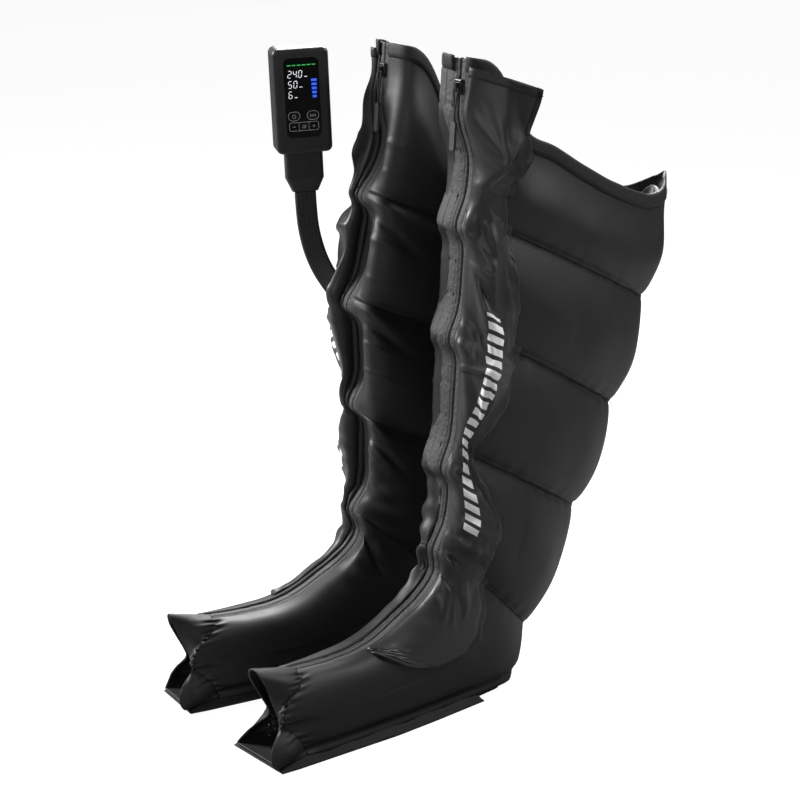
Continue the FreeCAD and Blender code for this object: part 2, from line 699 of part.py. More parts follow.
def gusset_wire(ring, place, fold):
    """Section of the gusset panel over one ring."""
    width = GUSSET_WIDTH * table_at(place, GUSSET_PLACE_SHARES, GUSSET_WIDTH_SHARES)
    lift = GUSSET_LIFT * table_at(place, GUSSET_PLACE_SHARES, GUSSET_LIFT_SHARES) * fold
    middle = width * GUSSET_MIDDLE_SHARE
    clear = GUSSET_CLEARANCE
    thick = GUSSET_THICKNESS
    inner = [
        (-clear, ring.face_half),
        (middle, flank_out(ring, middle) + clear + lift),
        (width, flank_out(ring, width) + clear),
    ]
    outer = [
        (-clear - thick, ring.face_half),
        (middle - thick / 2, inner[1][1] + thick),
        (width + thick / 2, inner[2][1] + thick),
    ]
    inner = [ring_point(ring, *p) for p in inner]
    outer = [ring_point(ring, *p) for p in outer]
    return Part.Wire([
        Part.Arc(*inner).toShape(),
        Part.LineSegment(inner[2], outer[2]).toShape(),
        Part.Arc(*reversed(outer)).toShape(),
        Part.LineSegment(outer[0], inner[0]).toShape(),
    ])


def gusset_panel():
    """Loose cover on the outer side of the zipper, with a fold across it in each half chamber."""
    wires = []
    for chamber in range(len(FRONT_SEAM_SHARES) - 1):
        for share in CROWN_SHARES[:-1]:
            share = max(share, GUSSET_START_SHARE) if chamber == 0 else share
            fold = 1.0 - GUSSET_FOLD_SHARE * (0.5 - 0.5 * math.cos(2 * math.pi * GUSSET_FOLDS * share))
            if share > GUSSET_START_SHARE or chamber or not wires:
                wires.append(gusset_wire(leg_ring(chamber, share, draw=0.0), chamber + share, fold))
    leg_chambers = len(FRONT_SEAM_SHARES) - 1
    for index in range(1, GUSSET_LAST_FOOT_RING + 1):
        wires.append(gusset_wire(foot_ring(index, draw=0.0), leg_chambers + FOOT_FRONT_SHARES[index], 1.0))
    return Part.makeLoft(wires, True, True)


# Hose route in the upright plane that its broad face lies in
HOSE_FACE = Vector(math.sin(math.radians(HOSE_FACE_DEG)), -math.cos(math.radians(HOSE_FACE_DEG)), 0)
HOSE_ALONG = Vector(-HOSE_FACE.y, HOSE_FACE.x, 0)
HOSE_TOP = Vector(HOSE_ORIGIN_X, HOSE_ORIGIN_Y, HOSE_TOP_SHARE * SLEEVE_HEIGHT)
HOSE_POINTS = [HOSE_TOP + HOSE_ALONG * along - Vector(0, 0, drop) for along, drop in HOSE_ROUTE]
PLUG_WAY = (HOSE_POINTS[0] - HOSE_POINTS[1]).normalize()
INLET_WAY = (HOSE_POINTS[-1] - HOSE_POINTS[-2]).normalize()


def hose_path():
    """Straight runs joined by arcs as large as the runs allow, with the arcs' radii."""
    edges = []
    radii = []
    last = HOSE_POINTS[0]
    for before, point, after in zip(HOSE_POINTS, HOSE_POINTS[1:], HOSE_POINTS[2:]):
        way_in = (point - before).normalize()
        way_out = (after - point).normalize()
        half_turn = way_in.getAngle(way_out) / 2
        reach = ARC_SHARE * min((point - before).Length, (after - point).Length)
        radius = reach / math.tan(half_turn)
        start = point - way_in * reach
        end = point + way_out * reach
        middle = point + (way_out - way_in).normalize() * (radius / math.cos(half_turn) - radius)
        edges += [Part.LineSegment(last, start).toShape(), Part.Arc(start, middle, end).toShape()]
        radii.append(radius)
        last = end
    edges.append(Part.LineSegment(last, HOSE_POINTS[-1]).toShape())
    return Part.Wire(edges), radii


def rounded_wire(width, height, radius):
    """Rounded rectangle round the origin, width along x and height along z."""
    x, z = width / 2, height / 2
    bend = radius * (1 - math.sqrt(0.5))
    edges = []
    for sx, sz in ((1, 1), (-1, 1), (-1, -1), (1, -1)):
        on_side = Vector(sx * x, 0, sz * (z - radius))
        on_end = Vector(sx * (x - radius), 0, sz * z)
        middle = Vector(sx * (x - bend), 0, sz * (z - bend))
        edges.append(Part.Arc(on_side, middle, on_end).toShape())
    lines = [((x, radius - z), (x, z - radius)), ((x - radius, z), (radius - x, z))]
    lines += [((-x, z - radius), (-x, radius - z)), ((radius - x, -z), (x - radius, -z))]
    edges += [Part.LineSegment(Vector(a, 0, b), Vector(c, 0, d)).toShape() for (a, b), (c, d) in lines]
    return Part.Wire(Part.__sortEdges__(edges))


def slab(width, height, radius, depth, x=0.0, y=0.0, z=0.0):
    """Rounded plate centred on x and z, from y backwards."""
    plate = Part.Face(rounded_wire(width, height, radius)).extrude(Vector(0, depth, 0))
    plate.translate(Vector(x, y, z))
    return plate


def hose_frame(point, way):
    """Placement with z along a way and x across the hose in the plane of its route."""
    return Placement(point, Rotation(Vector(0, 0, 0), HOSE_FACE * -1, way, "ZYX"))


def hose():
    """Flat hose with five air ways, swept with its broad face square to one direction."""
    path, radii = hose_path()
    profile = rounded_wire(HOSE_WIDTH, HOSE_THICKNESS, HOSE_EDGE_RADIUS)
    profile.rotate(Vector(0, 0, 0), Vector(1, 0, 0), -90)
    profile.Placement = hose_frame(HOSE_POINTS[0], PLUG_WAY).multiply(profile.Placement)
    sweep = Part.BRepOffsetAPI.MakePipeShell(path)
    sweep.setBiNormalMode(HOSE_FACE)
    sweep.add(profile, False, False)
    sweep.build()
    sweep.makeSolid()
    tube = sweep.shape()
    section = Part.Face(profile).Area
    print("hose radii", [round(r) for r in radii], "length", round(path.Length, 1),
          "volume over section times length", round(tube.Volume / (section * path.Length), 4))
    return tube


def inlet_block(gap):
    """Manifold at the end of the hose, grown by a gap all round."""
    grown_width = INLET_WIDTH + 2 * gap
    grown_depth = INLET_OUT + INLET_DEPTH + 2 * gap
    block = Part.makeBox(grown_width, grown_depth, INLET_LENGTH + 2 * gap,
                         Vector(-grown_width / 2, -INLET_DEPTH - gap, -gap))
    block = block.makeFillet(INLET_ROUND, [e for e in block.Edges if e.CenterOfMass.y > 0])
    block.Placement = hose_frame(HOSE_POINTS[-1], INLET_WAY)
    return block


def hose_slit():
    """Room for the end of the hose where it goes through the gusset."""
    width = HOSE_WIDTH + 2 * SLIT_GAP
    depth = HOSE_THICKNESS + 2 * SLIT_GAP
    room = Part.makeBox(width, depth, SLIT_LENGTH, Vector(-width / 2, -depth / 2, -SLIT_LENGTH))
    room.Placement = hose_frame(HOSE_POINTS[-1], INLET_WAY)
    return room


def sleeve_frame():
    """Placement of the left sleeve in the pair."""
    return Placement(Vector(HEEL_SPACING / 2, 0, 0), Rotation(Vector(0, 0, 1), TOE_OUT_DEG))


def mirrored(shape):
    """Mirror image of a shape on the other side of the pair."""
    return shape.mirror(Vector(0, 0, 0), Vector(1, 0, 0))


def placed(shape, placement):
    """Copy of a shape moved by a placement."""
    moved = shape.copy()
    moved.Placement = placement.multiply(moved.Placement)
    return moved


def in_sleeve(shape):
    """Shape on the right sleeve's side of the pair, in the frame of a sleeve."""
    return placed(mirrored(shape), sleeve_frame().inverse())


def air_lines(gap=0.0):
    """Tubes in the chamber walls that lead up and down from the inlet manifold."""
    middle = HOSE_POINTS[-1] + INLET_WAY * (INLET_LENGTH / 2)
    start = sleeve_frame().inverse().multVec(Vector(-middle.x, middle.y, middle.z))
    level = (start - TOP_FRONT).dot(SHIN_WAY)
    tubes = []
    ways = [(1, share) for share in LINE_DOWN_SHARES] + [(-1, share) for share in LINE_UP_SHARES]
    for index, (sign, share) in enumerate(ways):
        length = share * SLEEVE_HEIGHT
        foot = TOP_FRONT + SHIN_WAY * level + inward(SHIN_WAY) * (LINE_SETBACK + index * LINE_PITCH)
        foot = foot + Vector(LINE_OUT, 0, 0)
        tubes.append(Part.makeCylinder(LINE_RADIUS + gap, length + gap, foot, SHIN_WAY * sign))
    return Part.makeCompound(tubes)


def sleeve():
    """All pieces of one sleeve, in its own frame."""
    inlet = in_sleeve(inlet_block(0.0))
    inlet_room = in_sleeve(inlet_block(SOFT_GAP))
    line_room = air_lines(SOFT_GAP)
    pieces = {}
    for chamber, name in enumerate(("thigh_chamber", "knee_chamber", "calf_chamber", "ankle_chamber")):
        pieces[name] = leg_chamber(chamber).cut(line_room).cut(inlet_room)
    pieces["thigh_chamber"] = pieces["thigh_chamber"].common(below_scoop(BINDING_HEIGHT))
    pieces["foot_chamber"] = foot_chamber().cut(line_room)
    pieces["top_binding"] = top_binding()
    pieces["sole_panel"] = sole_panel()
    pieces["toe_hem"] = toe_hem()
    pieces["zipper_tape"] = zipper_tape()
    pieces["zipper_coil"] = zipper_coil()
    pieces["zip_slider"] = zip_slider()
    pieces["pull_cord"] = on_pull(pull_cord())
    pieces["pull_tab"] = on_pull(pull_tab())
    pieces["gusset_panel"] = gusset_panel().cut(inlet_room).cut(in_sleeve(hose_slit()))
    pieces["inlet_manifold"] = inlet
    pieces["air_lines"] = air_lines().cut(inlet_room)
    return pieces


# Controller, drawn with its front towards -y, its bottom at z 0 and x across it
FRONT_Y = -CASE_DEPTH / 2
REAR_Y = CASE_DEPTH / 2
INNER_FRONT = FRONT_Y + CASE_WALL
INNER_REAR = REAR_Y - CASE_WALL
WINDOW_BACK = FRONT_Y + WINDOW_GAP + WINDOW_THICKNESS
SHELF_BACK = WINDOW_BACK + CASE_WALL
BOARD_FRONT = FRONT_Y + BOARD_SETBACK
BOARD_BACK = BOARD_FRONT + BOARD_THICKNESS
WINDOW_Z = WINDOW_BOTTOM + WINDOW_HEIGHT / 2
SOCKET_TOP = CASE_WALL + SOCKET_HEIGHT
SCREW_HOLE_RADIUS = SCREW_RADIUS + SCREW_CLEARANCE
MOTOR_Y = INNER_REAR - MOTOR_RADIUS - SOFT_GAP
HEAD_LEFT = MOTOR_LEFT + MOTOR_LENGTH
POST_X = CASE_WIDTH / 2 - POST_INSET_X
POSTS = [(x, z) for x in (-POST_X, POST_X) for z in (POST_INSET_Z, CASE_HEIGHT - POST_INSET_Z)]
KEYS = {
    "power_key": (-ROUND_KEY_SPACING / 2, ROUND_KEY_Z, ROUND_KEY_WIDTH, ROUND_KEY_HEIGHT, ROUND_KEY_RADIUS),
    "mode_key": (ROUND_KEY_SPACING / 2, ROUND_KEY_Z, ROUND_KEY_WIDTH, ROUND_KEY_HEIGHT, ROUND_KEY_RADIUS),
    "minus_key": (-ROW_KEY_SPACING, ROW_KEY_Z, ROW_KEY_WIDTH, ROW_KEY_HEIGHT, ROW_KEY_RADIUS),
    "heat_key": (0.0, ROW_KEY_Z, ROW_KEY_WIDTH, ROW_KEY_HEIGHT, ROW_KEY_RADIUS),
    "plus_key": (ROW_KEY_SPACING, ROW_KEY_Z, ROW_KEY_WIDTH, ROW_KEY_HEIGHT, ROW_KEY_RADIUS),
}


def case_half(front):
    """Front or rear half of the housing shell, with its edges rounded."""
    depth = CASE_DEPTH / 2 - CASE_SPLIT_GAP / 2
    start = FRONT_Y if front else CASE_SPLIT_GAP / 2
    outer = slab(CASE_WIDTH, CASE_HEIGHT, CASE_CORNER, depth, y=start, z=CASE_HEIGHT / 2)
    face = FRONT_Y if front else REAR_Y
    outer = outer.makeFillet(CASE_EDGE, [e for e in outer.Edges if abs(e.CenterOfMass.y - face) < SOFT_GAP])
    hollow_start = INNER_FRONT if front else -OVERRUN
    hollow_end = OVERRUN if front else INNER_REAR
    hollow = slab(CASE_WIDTH - 2 * CASE_WALL, CASE_HEIGHT - 2 * CASE_WALL, CASE_CORNER - CASE_WALL,
                  hollow_end - hollow_start, y=hollow_start, z=CASE_HEIGHT / 2)
    return outer, hollow


def bottom_openings():
    """Openings in the bottom wall for the plug's nose and the charge port."""
    nose = box(NOSE_WIDTH + 2 * NOSE_GAP, NOSE_THICKNESS + 2 * NOSE_GAP, 2 * OVERRUN,
               y=-NOSE_THICKNESS / 2 - NOSE_GAP, z=CASE_WALL - 2 * OVERRUN)
    port = box(PORT_WIDTH + 2 * NOSE_GAP, PORT_HEIGHT + 2 * NOSE_GAP, OVERRUN + PORT_DEPTH + NOSE_GAP,
               x=PORT_X, y=PORT_HEIGHT / 2, z=-OVERRUN)
    return nose.fuse(port)


def across_case(radius, x, z, start, end):
    """Round bar from front to back through the housing."""
    return Part.makeCylinder(radius, end - start, Vector(x, start, z), Vector(0, 1, 0))


def window_slab(margin, start, end):
    """Plate with the outline of the display window, grown by a margin."""
    width = WINDOW_WIDTH + 2 * margin
    height = WINDOW_HEIGHT + 2 * margin
    return slab(width, height, WINDOW_CORNER + margin, end - start, y=start, z=WINDOW_Z)


def front_housing():
    """Front shell with a shelf round the display window and four screw bosses."""
    outer, hollow = case_half(True)
    shelf = window_slab(WINDOW_SHELF, INNER_FRONT, SHELF_BACK)
    shell = outer.cut(hollow).fuse(shelf.common(hollow))
    for x, z in POSTS:
        shell = shell.fuse(across_case(POST_RADIUS, x, z, INNER_FRONT, BOARD_FRONT))
    shell = shell.cut(window_slab(WINDOW_GAP, FRONT_Y - OVERRUN, WINDOW_BACK))
    shell = shell.cut(window_slab(-WINDOW_SHELF, FRONT_Y, REAR_Y))
    for x, z in POSTS:
        shell = shell.cut(across_case(SCREW_HOLE_RADIUS, x, z, BOARD_FRONT - SCREW_GRIP, REAR_Y))
    return shell.cut(bottom_openings()).removeSplitter()


def rear_housing():
    """Rear shell with four posts that carry the circuit board."""
    outer, hollow = case_half(False)
    shell = outer.cut(hollow)
    for x, z in POSTS:
        shell = shell.fuse(across_case(POST_RADIUS, x, z, BOARD_BACK, INNER_REAR))
    head_radius = SCREW_HEAD_RADIUS + SCREW_CLEARANCE
    for x, z in POSTS:
        shell = shell.cut(across_case(SCREW_HOLE_RADIUS, x, z, FRONT_Y, REAR_Y + OVERRUN))
        shell = shell.cut(across_case(head_radius, x, z, REAR_Y - SCREW_HEAD_DEPTH, REAR_Y + OVERRUN))
    return shell.cut(bottom_openings()).removeSplitter()


def housing_screws():
    """Four screws from the back, through the posts and the board into the front bosses."""
    screws = []
    end = REAR_Y - SCREW_CLEARANCE
    for x, z in POSTS:
        shank = across_case(SCREW_RADIUS, x, z, BOARD_FRONT - SCREW_GRIP + SCREW_CLEARANCE, end)
        screws.append(shank.fuse(across_case(SCREW_HEAD_RADIUS, x, z, REAR_Y - SCREW_HEAD_DEPTH, end)))
    return Part.makeCompound(screws)


def display_window():
    """Dark clear panel with holes for the keys."""
    panel = window_slab(0.0, FRONT_Y + WINDOW_GAP, WINDOW_BACK)
    for x, z, width, height, radius in KEYS.values():
        room = 2 * KEY_GAP
        panel = panel.cut(slab(width + room, height + room, radius + KEY_GAP, 2 * OVERRUN, x, -OVERRUN, z))
    return panel


def key(name):
    """Key cap that stands a little proud of the window, with a flange and a stem behind it."""
    x, z, width, height, radius = KEYS[name]
    front = FRONT_Y - KEY_PROUD
    flange_front = WINDOW_BACK + KEY_SEAT_GAP
    cap = slab(width, height, radius, flange_front - front, x, front, z)
    edge = [e for e in cap.Edges if abs(e.CenterOfMass.y - front) < SOFT_GAP]
    cap = cap.makeFillet(KEY_PROUD / 2, edge)
    flange = slab(width + 2 * KEY_FLANGE, height + 2 * KEY_FLANGE, radius + KEY_FLANGE,
                  KEY_FLANGE_THICKNESS, x, flange_front, z)
    stem_end = BOARD_FRONT - KEY_TRAVEL - KEY_SEAT_GAP
    stem = slab(width / 2, height / 2, radius / 2, stem_end - flange_front, x, flange_front, z)
    return cap.fuse(flange).fuse(stem).removeSplitter()


def circuit_board():
    """Board carried by the posts."""
    height = CASE_HEIGHT - 2 * BOARD_MARGIN_Z
    board = slab(BOARD_WIDTH, height, POST_RADIUS, BOARD_THICKNESS, y=BOARD_FRONT, z=CASE_HEIGHT / 2)
    for x, z in POSTS:
        board = board.cut(across_case(SCREW_HOLE_RADIUS, x, z, FRONT_Y, REAR_Y))
    return board


def display_module():
    """Lamp module on the board, behind the upper part of the window."""
    y = BOARD_FRONT - DISPLAY_THICKNESS
    z = WINDOW_BOTTOM + WINDOW_HEIGHT - DISPLAY_TOP_MARGIN - DISPLAY_HEIGHT
    return box(DISPLAY_WIDTH, DISPLAY_THICKNESS, DISPLAY_HEIGHT, y=y, z=z)


def battery_pack():
    """Flat battery on the rear wall."""
    y = INNER_REAR - BATTERY_THICKNESS
    z = CASE_HEIGHT - BATTERY_TOP_MARGIN - BATTERY_HEIGHT / 2
    return slab(BATTERY_WIDTH, BATTERY_HEIGHT, BATTERY_ROUND, BATTERY_THICKNESS, y=y, z=z)


def along_shaft(radius, start, end, lift=0.0):
    """Round bar along the pump's shaft."""
    return Part.makeCylinder(radius, end - start, Vector(start, MOTOR_Y, MOTOR_Z + lift), Vector(1, 0, 0))


def pump_motor():
    """Motor can with the shaft's bore."""
    bore = along_shaft(SHAFT_RADIUS + SHAFT_GAP, MOTOR_LEFT, HEAD_LEFT)
    return along_shaft(MOTOR_RADIUS, MOTOR_LEFT, HEAD_LEFT).cut(bore)


def pump_shaft():
    """Shaft with the eccentric that works the pump."""
    reach = HEAD_LEFT + SHAFT_REACH
    shaft = along_shaft(SHAFT_RADIUS, MOTOR_LEFT, reach)
    return shaft.fuse(along_shaft(CAM_RADIUS, reach - CAM_LENGTH, reach, CAM_OFFSET)).removeSplitter()


def pump_head():
    """Pump body on the motor's end, with room for the eccentric."""
    body = Part.makeBox(HEAD_LENGTH, INNER_REAR - MOTOR_Y + MOTOR_RADIUS, HEAD_SIZE,
                        Vector(HEAD_LEFT, MOTOR_Y - MOTOR_RADIUS, MOTOR_Z - HEAD_SIZE / 2))
    return body.cut(along_shaft(HEAD_BORE_RADIUS, HEAD_LEFT, HEAD_LEFT + HEAD_BORE_DEPTH))


def outlet_socket():
    """Socket on the bottom wall that the plug's nose goes into."""
    block = box(NOSE_WIDTH + 2 * SOCKET_WALL, NOSE_THICKNESS + 2 * SOCKET_WALL, SOCKET_HEIGHT,
                y=-NOSE_THICKNESS / 2 - SOCKET_WALL, z=CASE_WALL)
    room = slab(NOSE_WIDTH + 2 * NOSE_GAP, NOSE_THICKNESS + 2 * NOSE_GAP, NOSE_CORNER + NOSE_GAP,
                NOSE_LENGTH + NOSE_GAP)
    room.rotate(Vector(0, 0, 0), Vector(1, 0, 0), 90)
    return block.cut(room)


def valve_block():
    """Manifold on the socket, against the rear wall."""
    y = INNER_REAR - VALVE_BLOCK_DEPTH
    return box(VALVE_BLOCK_WIDTH, VALVE_BLOCK_DEPTH, VALVE_BLOCK_HEIGHT, y=y, z=SOCKET_TOP)


def solenoid_valves():
    """One valve for each chamber of a sleeve, standing on the manifold."""
    valves = []
    for index in range(VALVE_COUNT):
        x = (index - (VALVE_COUNT - 1) / 2) * VALVE_PITCH
        at = Vector(x, INNER_REAR - VALVE_BLOCK_DEPTH / 2, SOCKET_TOP + VALVE_BLOCK_HEIGHT)
        valves.append(Part.makeCylinder(VALVE_RADIUS, VALVE_HEIGHT, at))
    return Part.makeCompound(valves)


def charge_port():
    """Charging socket beside the plug."""
    shell = box(PORT_WIDTH, PORT_HEIGHT, PORT_DEPTH, x=PORT_X, y=PORT_HEIGHT / 2 + NOSE_GAP)
    room = box(PORT_WIDTH - 2 * PORT_WALL, PORT_HEIGHT - 2 * PORT_WALL, PORT_DEPTH - PORT_WALL,
               x=PORT_X, y=PORT_HEIGHT / 2 + NOSE_GAP + PORT_WALL)
    return shell.cut(room)


def level_wire(width, thickness, corner, z):
    """Rounded rectangle that lies level at a height."""
    wire = rounded_wire(width, thickness, corner)
    wire.rotate(Vector(0, 0, 0), Vector(1, 0, 0), 90)
    wire.translate(Vector(0, 0, z))
    return wire


def hose_plug():
    """Plug under the controller: nose, ribbed grip and a taper down to the hose."""
    bottom = -PLUG_STRAIGHT - PLUG_TAPER
    waist = level_wire(PLUG_WIDTH, PLUG_THICKNESS, PLUG_CORNER, -PLUG_STRAIGHT)
    end = level_wire(PLUG_END_WIDTH, PLUG_END_THICKNESS, PLUG_CORNER, bottom)
    mouth = level_wire(NOSE_WIDTH, NOSE_THICKNESS, NOSE_CORNER, -PLUG_SEAT_GAP)
    grip = Part.Face(waist).extrude(Vector(0, 0, PLUG_STRAIGHT - PLUG_SEAT_GAP))
    taper = Part.makeLoft([waist, end], True, True)
    nose = Part.Face(mouth).extrude(Vector(0, 0, NOSE_LENGTH))
    plug = grip.fuse(taper).fuse(nose)
    for index in range(RIB_COUNT):
        x = (index - (RIB_COUNT - 1) / 2) * RIB_PITCH
        depth = PLUG_THICKNESS + 2 * RIB_HEIGHT
        z = -PLUG_STRAIGHT / 2 - RIB_LENGTH / 2
        plug = plug.fuse(box(RIB_WIDTH, depth, RIB_LENGTH, x=x, y=-depth / 2, z=z))
    return plug.removeSplitter()


PLUG_LENGTH = PLUG_STRAIGHT + PLUG_TAPER


def controller_frame():
    """Placement of the controller: its bottom above the plug, its front along the hose's broad face."""
    return hose_frame(HOSE_POINTS[0] + PLUG_WAY * PLUG_LENGTH, PLUG_WAY)


def controller():
    """All pieces of the controller, in its own frame."""
    pieces = {
        "front_housing": front_housing(),
        "rear_housing": rear_housing(),
        "housing_screws": housing_screws(),
        "display_window": display_window(),
        "display_module": display_module(),
        "circuit_board": circuit_board(),
        "battery_pack": battery_pack(),
        "pump_motor": pump_motor(),
        "pump_shaft": pump_shaft(),
        "pump_head": pump_head(),
        "valve_block": valve_block(),
        "solenoid_valves": solenoid_valves(),
        "outlet_socket": outlet_socket(),
        "charge_port": charge_port(),
        "hose_plug": hose_plug(),
    }
    for name in KEYS:
        pieces[name] = key(name)
    return pieces


def assembly():
    """All pieces where they stand, with the origin under the middle of the object on the floor."""
    pieces = {"hose": hose()}
    for name, shape in sleeve().items():
        left = placed(shape, sleeve_frame())
        pieces["left_" + name] = left
        pieces["right_" + name] = mirrored(left)
    for name, shape in controller().items():
        pieces[name] = placed(shape, controller_frame())
    bounds = FreeCAD.BoundBox()
    for name, shape in pieces.items():
        if name not in CORD_NODES:
            bounds.add(shape.optimalBoundingBox(False, False))
    shift = Vector(-bounds.Center.x, -bounds.Center.y, -bounds.ZMin)
    for shape in pieces.values():
        shape.translate(shift)
    return pieces, shift


def main():
    """Write every piece as its own file."""
    os.makedirs("parts", exist_ok=True)
    pieces, shift = assembly()
    print("shift", [round(value, 3) for value in shift])
    for name, shape in pieces.items():
        shape.exportStep(os.path.join("parts", name + ".step"))


if __name__ == "__main__":
    main()
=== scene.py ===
"""Looks of a pair of padded leg sleeves and their hand-held air controller, built round the packed solids.

A sleeve is drawn in its own frame in millimetres: u outward, v to the back, z up.
Meshes are written in metres in the frame of the packed solids.
"""
from __future__ import annotations

import json
import logging
import math
from dataclasses import dataclass
from enum import Enum
from functools import cached_property
from typing import Any, Callable, Optional, Sequence, Union

import bmesh
import bpy
import numpy as np
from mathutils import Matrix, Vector

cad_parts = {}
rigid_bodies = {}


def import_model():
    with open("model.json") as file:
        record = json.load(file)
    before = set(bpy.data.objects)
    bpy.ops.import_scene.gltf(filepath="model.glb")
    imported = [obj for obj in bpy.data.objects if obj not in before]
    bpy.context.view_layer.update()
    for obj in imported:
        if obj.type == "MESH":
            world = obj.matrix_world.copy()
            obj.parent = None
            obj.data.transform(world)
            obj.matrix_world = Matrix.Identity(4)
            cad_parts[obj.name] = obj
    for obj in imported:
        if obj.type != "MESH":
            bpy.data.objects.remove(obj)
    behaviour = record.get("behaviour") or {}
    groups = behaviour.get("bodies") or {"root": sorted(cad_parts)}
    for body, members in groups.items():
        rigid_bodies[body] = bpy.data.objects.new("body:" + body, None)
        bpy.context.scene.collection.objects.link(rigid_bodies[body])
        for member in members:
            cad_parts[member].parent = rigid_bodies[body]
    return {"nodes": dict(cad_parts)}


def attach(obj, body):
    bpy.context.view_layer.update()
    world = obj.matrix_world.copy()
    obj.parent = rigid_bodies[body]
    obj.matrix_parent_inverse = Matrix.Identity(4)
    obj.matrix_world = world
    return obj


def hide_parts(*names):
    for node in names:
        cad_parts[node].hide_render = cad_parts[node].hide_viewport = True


LOG = logging.getLogger("sleeves")
MM = 0.001
TINY = 1e-6
Array = np.ndarray
Colour = tuple[float, float, float]
Point = tuple[float, float, float]
Span = tuple[float, float]
Face = tuple[int, ...]
Part = tuple[Array, Sequence[Face]]


# Small maths


def lerp(a: Any, b: Any, share: Any) -> Any:
    """Value at a share of the way from a to b."""
    return a + (b - a) * share


def ease(x: Any) -> Any:
    """Smooth step from 0 to 1 as x goes from 0 to 1."""
    x = np.clip(x, 0.0, 1.0)
    return x * x * (3.0 - 2.0 * x)


def rise(x: Any, start: float, run: float) -> Any:
    """Smooth step from 0 at a start to 1 a run further on."""
    return ease((x - start) / run)


def hump(x: Any, width: Any) -> Any:
    """Bell curve of height 1 round 0."""
    return np.exp(-((x / width) ** 2))


def unit(vectors: Array, least: float = 0.0) -> Array:
    """Vectors divided by their length, or by a least length where they are shorter."""
    return vectors / np.maximum(np.linalg.norm(vectors, axis=-1), least)[..., None]


def smoothed(line: Array, passes: int) -> Array:
    """Line with the points between its ends smoothed in place.

    Args:
        line: Points of the line.
        passes: How often each point is drawn half way to the middle of its neighbours.

    Returns:
        The same line.
    """
    for _ in range(passes):
        line[1:-1] = 0.25 * line[:-2] + 0.5 * line[1:-1] + 0.25 * line[2:]
    return line


def run_along(points: Array) -> Array:
    """Distance of each point from the first of its line, for lines of points of shape (..., n, k)."""
    steps = np.linalg.norm(np.diff(points, axis=-2), axis=-1)
    return np.concatenate([np.zeros((*steps.shape[:-1], 1)), np.cumsum(steps, axis=-1)], axis=-1)


def blurred(x: Array, reach: float, places: Sequence[float], values: Sequence[float]) -> Array:
    """Values of a table, each the mean over five places within a reach.

    Args:
        x: Where the table is read.
        reach: How far the outer two of the five places lie.
        places: Places of the table.
        values: Its values at those places.

    Returns:
        Values of the shape of x.
    """
    moves = np.linspace(-reach, reach, 5)
    return np.mean([np.interp(x + move, places, values) for move in moves], axis=0)


def arc_points(a: Sequence[float], b: Sequence[float], c: Sequence[float], count: int) -> Array:
    """Points on the arc through three plane points.

    Args:
        a: First point.
        b: A point that the arc goes through.
        c: Last point.
        count: How many points, ends included.

    Returns:
        Array of shape (count, 2).
    """
    (ax, ay), (bx, by), (cx, cy) = a, b, c
    cross = 2.0 * (ax * (by - cy) + bx * (cy - ay) + cx * (ay - by))
    a2, b2, c2 = ax * ax + ay * ay, bx * bx + by * by, cx * cx + cy * cy
    x = (a2 * (by - cy) + b2 * (cy - ay) + c2 * (ay - by)) / cross
    y = (a2 * (cx - bx) + b2 * (ax - cx) + c2 * (bx - ax)) / cross
    radius = math.hypot(ax - x, ay - y)
    first, middle, last = (math.atan2(p[1] - y, p[0] - x) for p in (a, b, c))
    turn = (last - first) % math.tau
    if (middle - first) % math.tau > turn:
        turn -= math.tau
    angles = first + turn * np.linspace(0.0, 1.0, count)
    return np.stack([x + radius * np.cos(angles), y + radius * np.sin(angles)], axis=1)


def spread(line: Array, share: Array) -> Array:
    """Points at shares of a line's length, a little smoothed.

    Args:
        line: Points of the line.
        share: Shares of its length.

    Returns:
        A point for each share.
    """
    run = run_along(line)
    made = np.stack([np.interp(share * run[-1], run, column) for column in line.T], axis=1)
    return smoothed(made, 2)


@dataclass(frozen=True)
class Ripple:
    """Smooth seeded unevenness over a plane, made of a few waves.

    Attributes:
        seed: Seed of the waves' directions and phases.
        length: Typical wave length in millimetres.
        waves: How many waves are added.
        scatter: Shortest and longest wave, as shares of the typical length.
    """

    seed: int
    length: float
    waves: int = 7
    scatter: Span = (0.7, 1.5)

    def at(self, x: Array, y: Array) -> Array:
        """Unevenness at places.

        Args:
            x: First coordinate in millimetres.
            y: Second coordinate.

        Returns:
            Values of about -1 to 1.
        """
        draw = np.random.RandomState(self.seed)
        total = np.zeros(np.broadcast(x, y).shape)
        for _ in range(self.waves):
            angle = draw.uniform(0.0, math.tau)
            pitch = self.length * draw.uniform(*self.scatter)
            phase = draw.uniform(0.0, math.tau)
            way = (x * math.cos(angle) + y * math.sin(angle)) * math.tau / pitch
            total = total + np.sin(way + phase)
        return total / math.sqrt(2.0 * self.waves)


# Blender's own data


def set_all(owner: Any, settings: dict[str, Any]) -> None:
    """Set properties by name."""
    for key, value in settings.items():
        setattr(owner, key, value)


def placed(name: str, data: Any) -> bpy.types.Object:
    """New object of some data, in the scene."""
    made = bpy.data.objects.new(name, data)
    bpy.context.scene.collection.objects.link(made)
    return made


def final_mesh(made: bpy.types.Object) -> bpy.types.Mesh:
    """Plain mesh of an object with its modifiers."""
    return bpy.data.meshes.new_from_object(made.evaluated_get(bpy.context.evaluated_depsgraph_get()))


def curve_object(name: str, lines: Sequence[Array], kind: str) -> bpy.types.Object:
    """Curve object of lines.

    Args:
        name: Name of the object.
        lines: Points of each line in metres.
        kind: Blender's name for the kind of line.

    Returns:
        The object, in the scene.
    """
    curve = bpy.data.curves.new(name, "CURVE")
    curve.dimensions = "3D"
    for line in lines:
        spline = curve.splines.new(kind)
        spline.points.add(len(line) - 1)
        spline.points.foreach_set("co", np.c_[line, np.ones(len(line))].astype(np.float32).ravel())
    return placed(name, curve)


# Node trees and shader maths


